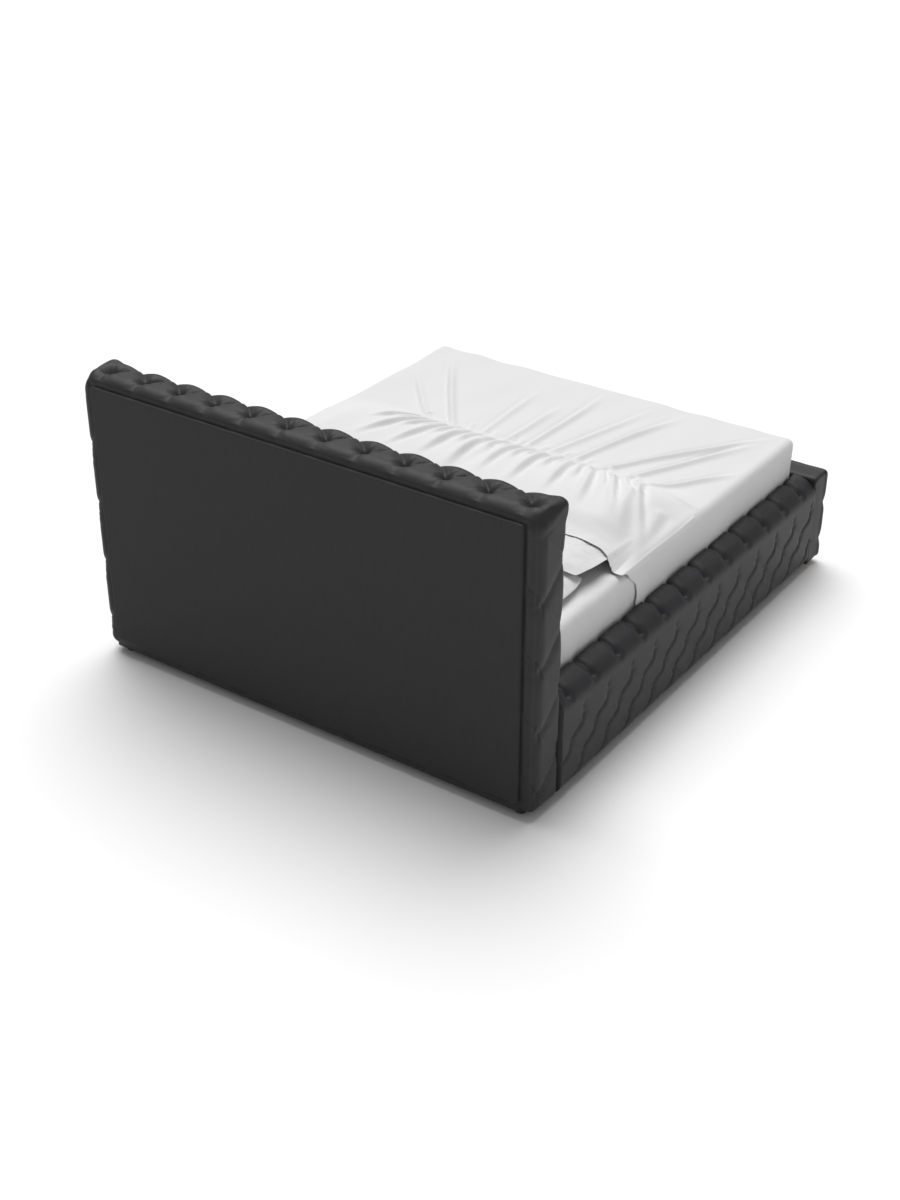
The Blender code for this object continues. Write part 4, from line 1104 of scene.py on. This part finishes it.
class BED_OT_stage(Operator):
    """Sets up the floor, the soft light and the camera"""
    bl_idname = "bed.stage"
    bl_label = "Stage"

    def execute(self, context):
        bm = bmesh.new()
        bmesh.ops.create_grid(bm, x_segments=1, y_segments=1, size=60.0)
        mesh = bpy.data.meshes.new("studio_floor")
        bm.to_mesh(mesh)
        bm.free()
        floor = bpy.data.objects.new("studio_floor", mesh)
        context.scene.collection.objects.link(floor)
        mesh.materials.append(floor_material())

        lamp = bpy.data.lights.new("overhead_softbox", "SUN")
        lamp.energy = 2.95
        lamp.angle = math.radians(55)
        softbox = bpy.data.objects.new("overhead_softbox", lamp)
        softbox.rotation_euler = Vector((-0.34, 0.36, -1.0)).to_track_quat("-Z", "Y").to_euler()
        context.scene.collection.objects.link(softbox)

        world = bpy.data.worlds.new("studio_world")
        world.use_nodes = True
        world.node_tree.nodes["Background"].inputs["Color"].default_value = (1.0, 1.0, 1.0, 1.0)
        world.node_tree.nodes["Background"].inputs["Strength"].default_value = 0.30
        context.scene.world = world
        context.scene.view_settings.view_transform = "Standard"

        camera = bpy.data.cameras.new("three_quarter_back")
        camera.lens = 52.6
        camera.sensor_width = 36.0
        camera.clip_end = 200.0
        eye = bpy.data.objects.new("three_quarter_back", camera)
        eye.location = (-3.561, 5.283, 3.761)
        eye.rotation_euler = Vector((0.4946, -0.7058, -0.5072)).to_track_quat("-Z", "Y").to_euler()
        context.scene.collection.objects.link(eye)
        context.scene.camera = eye
        return {"FINISHED"}


class BED_OT_upholstery(Operator):
    """Builds the tufted headboard, side rails and footboard"""
    bl_idname = "bed.upholstery"
    bl_label = "Tufted upholstery"

    def execute(self, context):
        tufting = context.scene.bed_tufting
        material = velvet_material(context.scene.bed_finishes.velvet)
        build_headboard(tufting, material)
        build_back_panel(back_cloth_material(context.scene.bed_finishes.back_cloth))
        for word, side in (("left", -1), ("right", 1)):
            build_rail(tufting, word, side, material)
        build_footboard(tufting, material)
        return {"FINISHED"}


class BED_OT_bedding(Operator):
    """Builds the mattress, fitted sheet, pillows and bed cover"""
    bl_idname = "bed.bedding"
    bl_label = "Bedding"

    def execute(self, context):
        bedding = context.scene.bed_bedding
        cotton = context.scene.bed_finishes.cotton
        percale = cotton_material("washed_cotton_percale", cotton, 80.0, 0.0012)
        crinkled = cotton_material("crinkled_cotton", cotton, 9.0, 0.004)
        build_mattress(ticking_material())
        build_sheet(percale)
        upper = []
        for word in ("left", "right"):
            build_pillow(f"lower_pillow_{word}", 0.0, 0.010, 0.0006, percale)
            upper.append(build_pillow(f"upper_pillow_{word}", math.radians(4.0), 0.024, 0.0016, crinkled))
        build_cover(bedding, upper, percale)
        return {"FINISHED"}


class BED_OT_frame_finishes(Operator):
    """Gives the frame's own parts their wood, fibreboard, steel and nylon"""
    bl_idname = "bed.frame_finishes"
    bl_label = "Frame finishes"

    def execute(self, context):
        finishes = context.scene.bed_finishes
        across, along, upright = (pine_material(f"planed_pine_{word}", finishes.pine, axis)
                                  for axis, word in enumerate(("across", "along", "upright")))
        board, zinc, nylon = fibreboard_material(), zinc_material(), nylon_material()
        chosen = {"headboard_front_board": board,
                  "headboard_mounting_board": across, "headboard_top_frame_rail": across,
                  "headboard_bottom_frame_rail": across, "footboard_core": across,
                  "headboard_post_left": upright, "headboard_post_right": upright}
        for name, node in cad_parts.items():
            if node.hide_render:
                continue
            if name in chosen:
                set_material(name, chosen[name])
            elif "glide" in name:
                set_material(name, nylon)
            elif "bracket" in name:
                set_material(name, zinc)
            elif "leg" in name:
                set_material(name, upright)
            elif name.startswith(("slat_0", "slat_1")):
                set_material(name, across)
            else:
                set_material(name, along)
        return {"FINISHED"}


class BED_PT_sidebar(Panel):
    """Lists the bed's steps and its sizes"""
    bl_label = "Tufted Bed"
    bl_space_type = "VIEW_3D"
    bl_region_type = "UI"
    bl_category = "Bed"

    def draw(self, context):
        for step in STEPS:
            self.layout.operator(step.bl_idname)
        for group in (context.scene.bed_tufting, context.scene.bed_bedding, context.scene.bed_finishes):
            column = self.layout.column()
            for name in group.__annotations__:
                column.prop(group, name)


STEPS = (BED_OT_stage, BED_OT_upholstery, BED_OT_bedding, BED_OT_frame_finishes)
CLASSES = (BedTufting, BedBedding, BedFinishes, *STEPS, BED_PT_sidebar)


def register():
    """Registers the classes and hangs the settings on the scene."""
    for cls in CLASSES:
        bpy.utils.register_class(cls)
    bpy.types.Scene.bed_tufting = PointerProperty(type=BedTufting)
    bpy.types.Scene.bed_bedding = PointerProperty(type=BedBedding)
    bpy.types.Scene.bed_finishes = PointerProperty(type=BedFinishes)


def unregister():
    """Takes the settings and classes away again."""
    for name in ("bed_tufting", "bed_bedding", "bed_finishes"):
        delattr(bpy.types.Scene, name)
    for cls in reversed(CLASSES):
        bpy.utils.unregister_class(cls)


def main():
    """Builds the bed's looks round the frame."""
    register()
    bpy.ops.bed.stage()
    bpy.ops.bed.upholstery()
    bpy.ops.bed.bedding()
    bpy.ops.bed.frame_finishes()


if __name__ == "__main__":
    main()
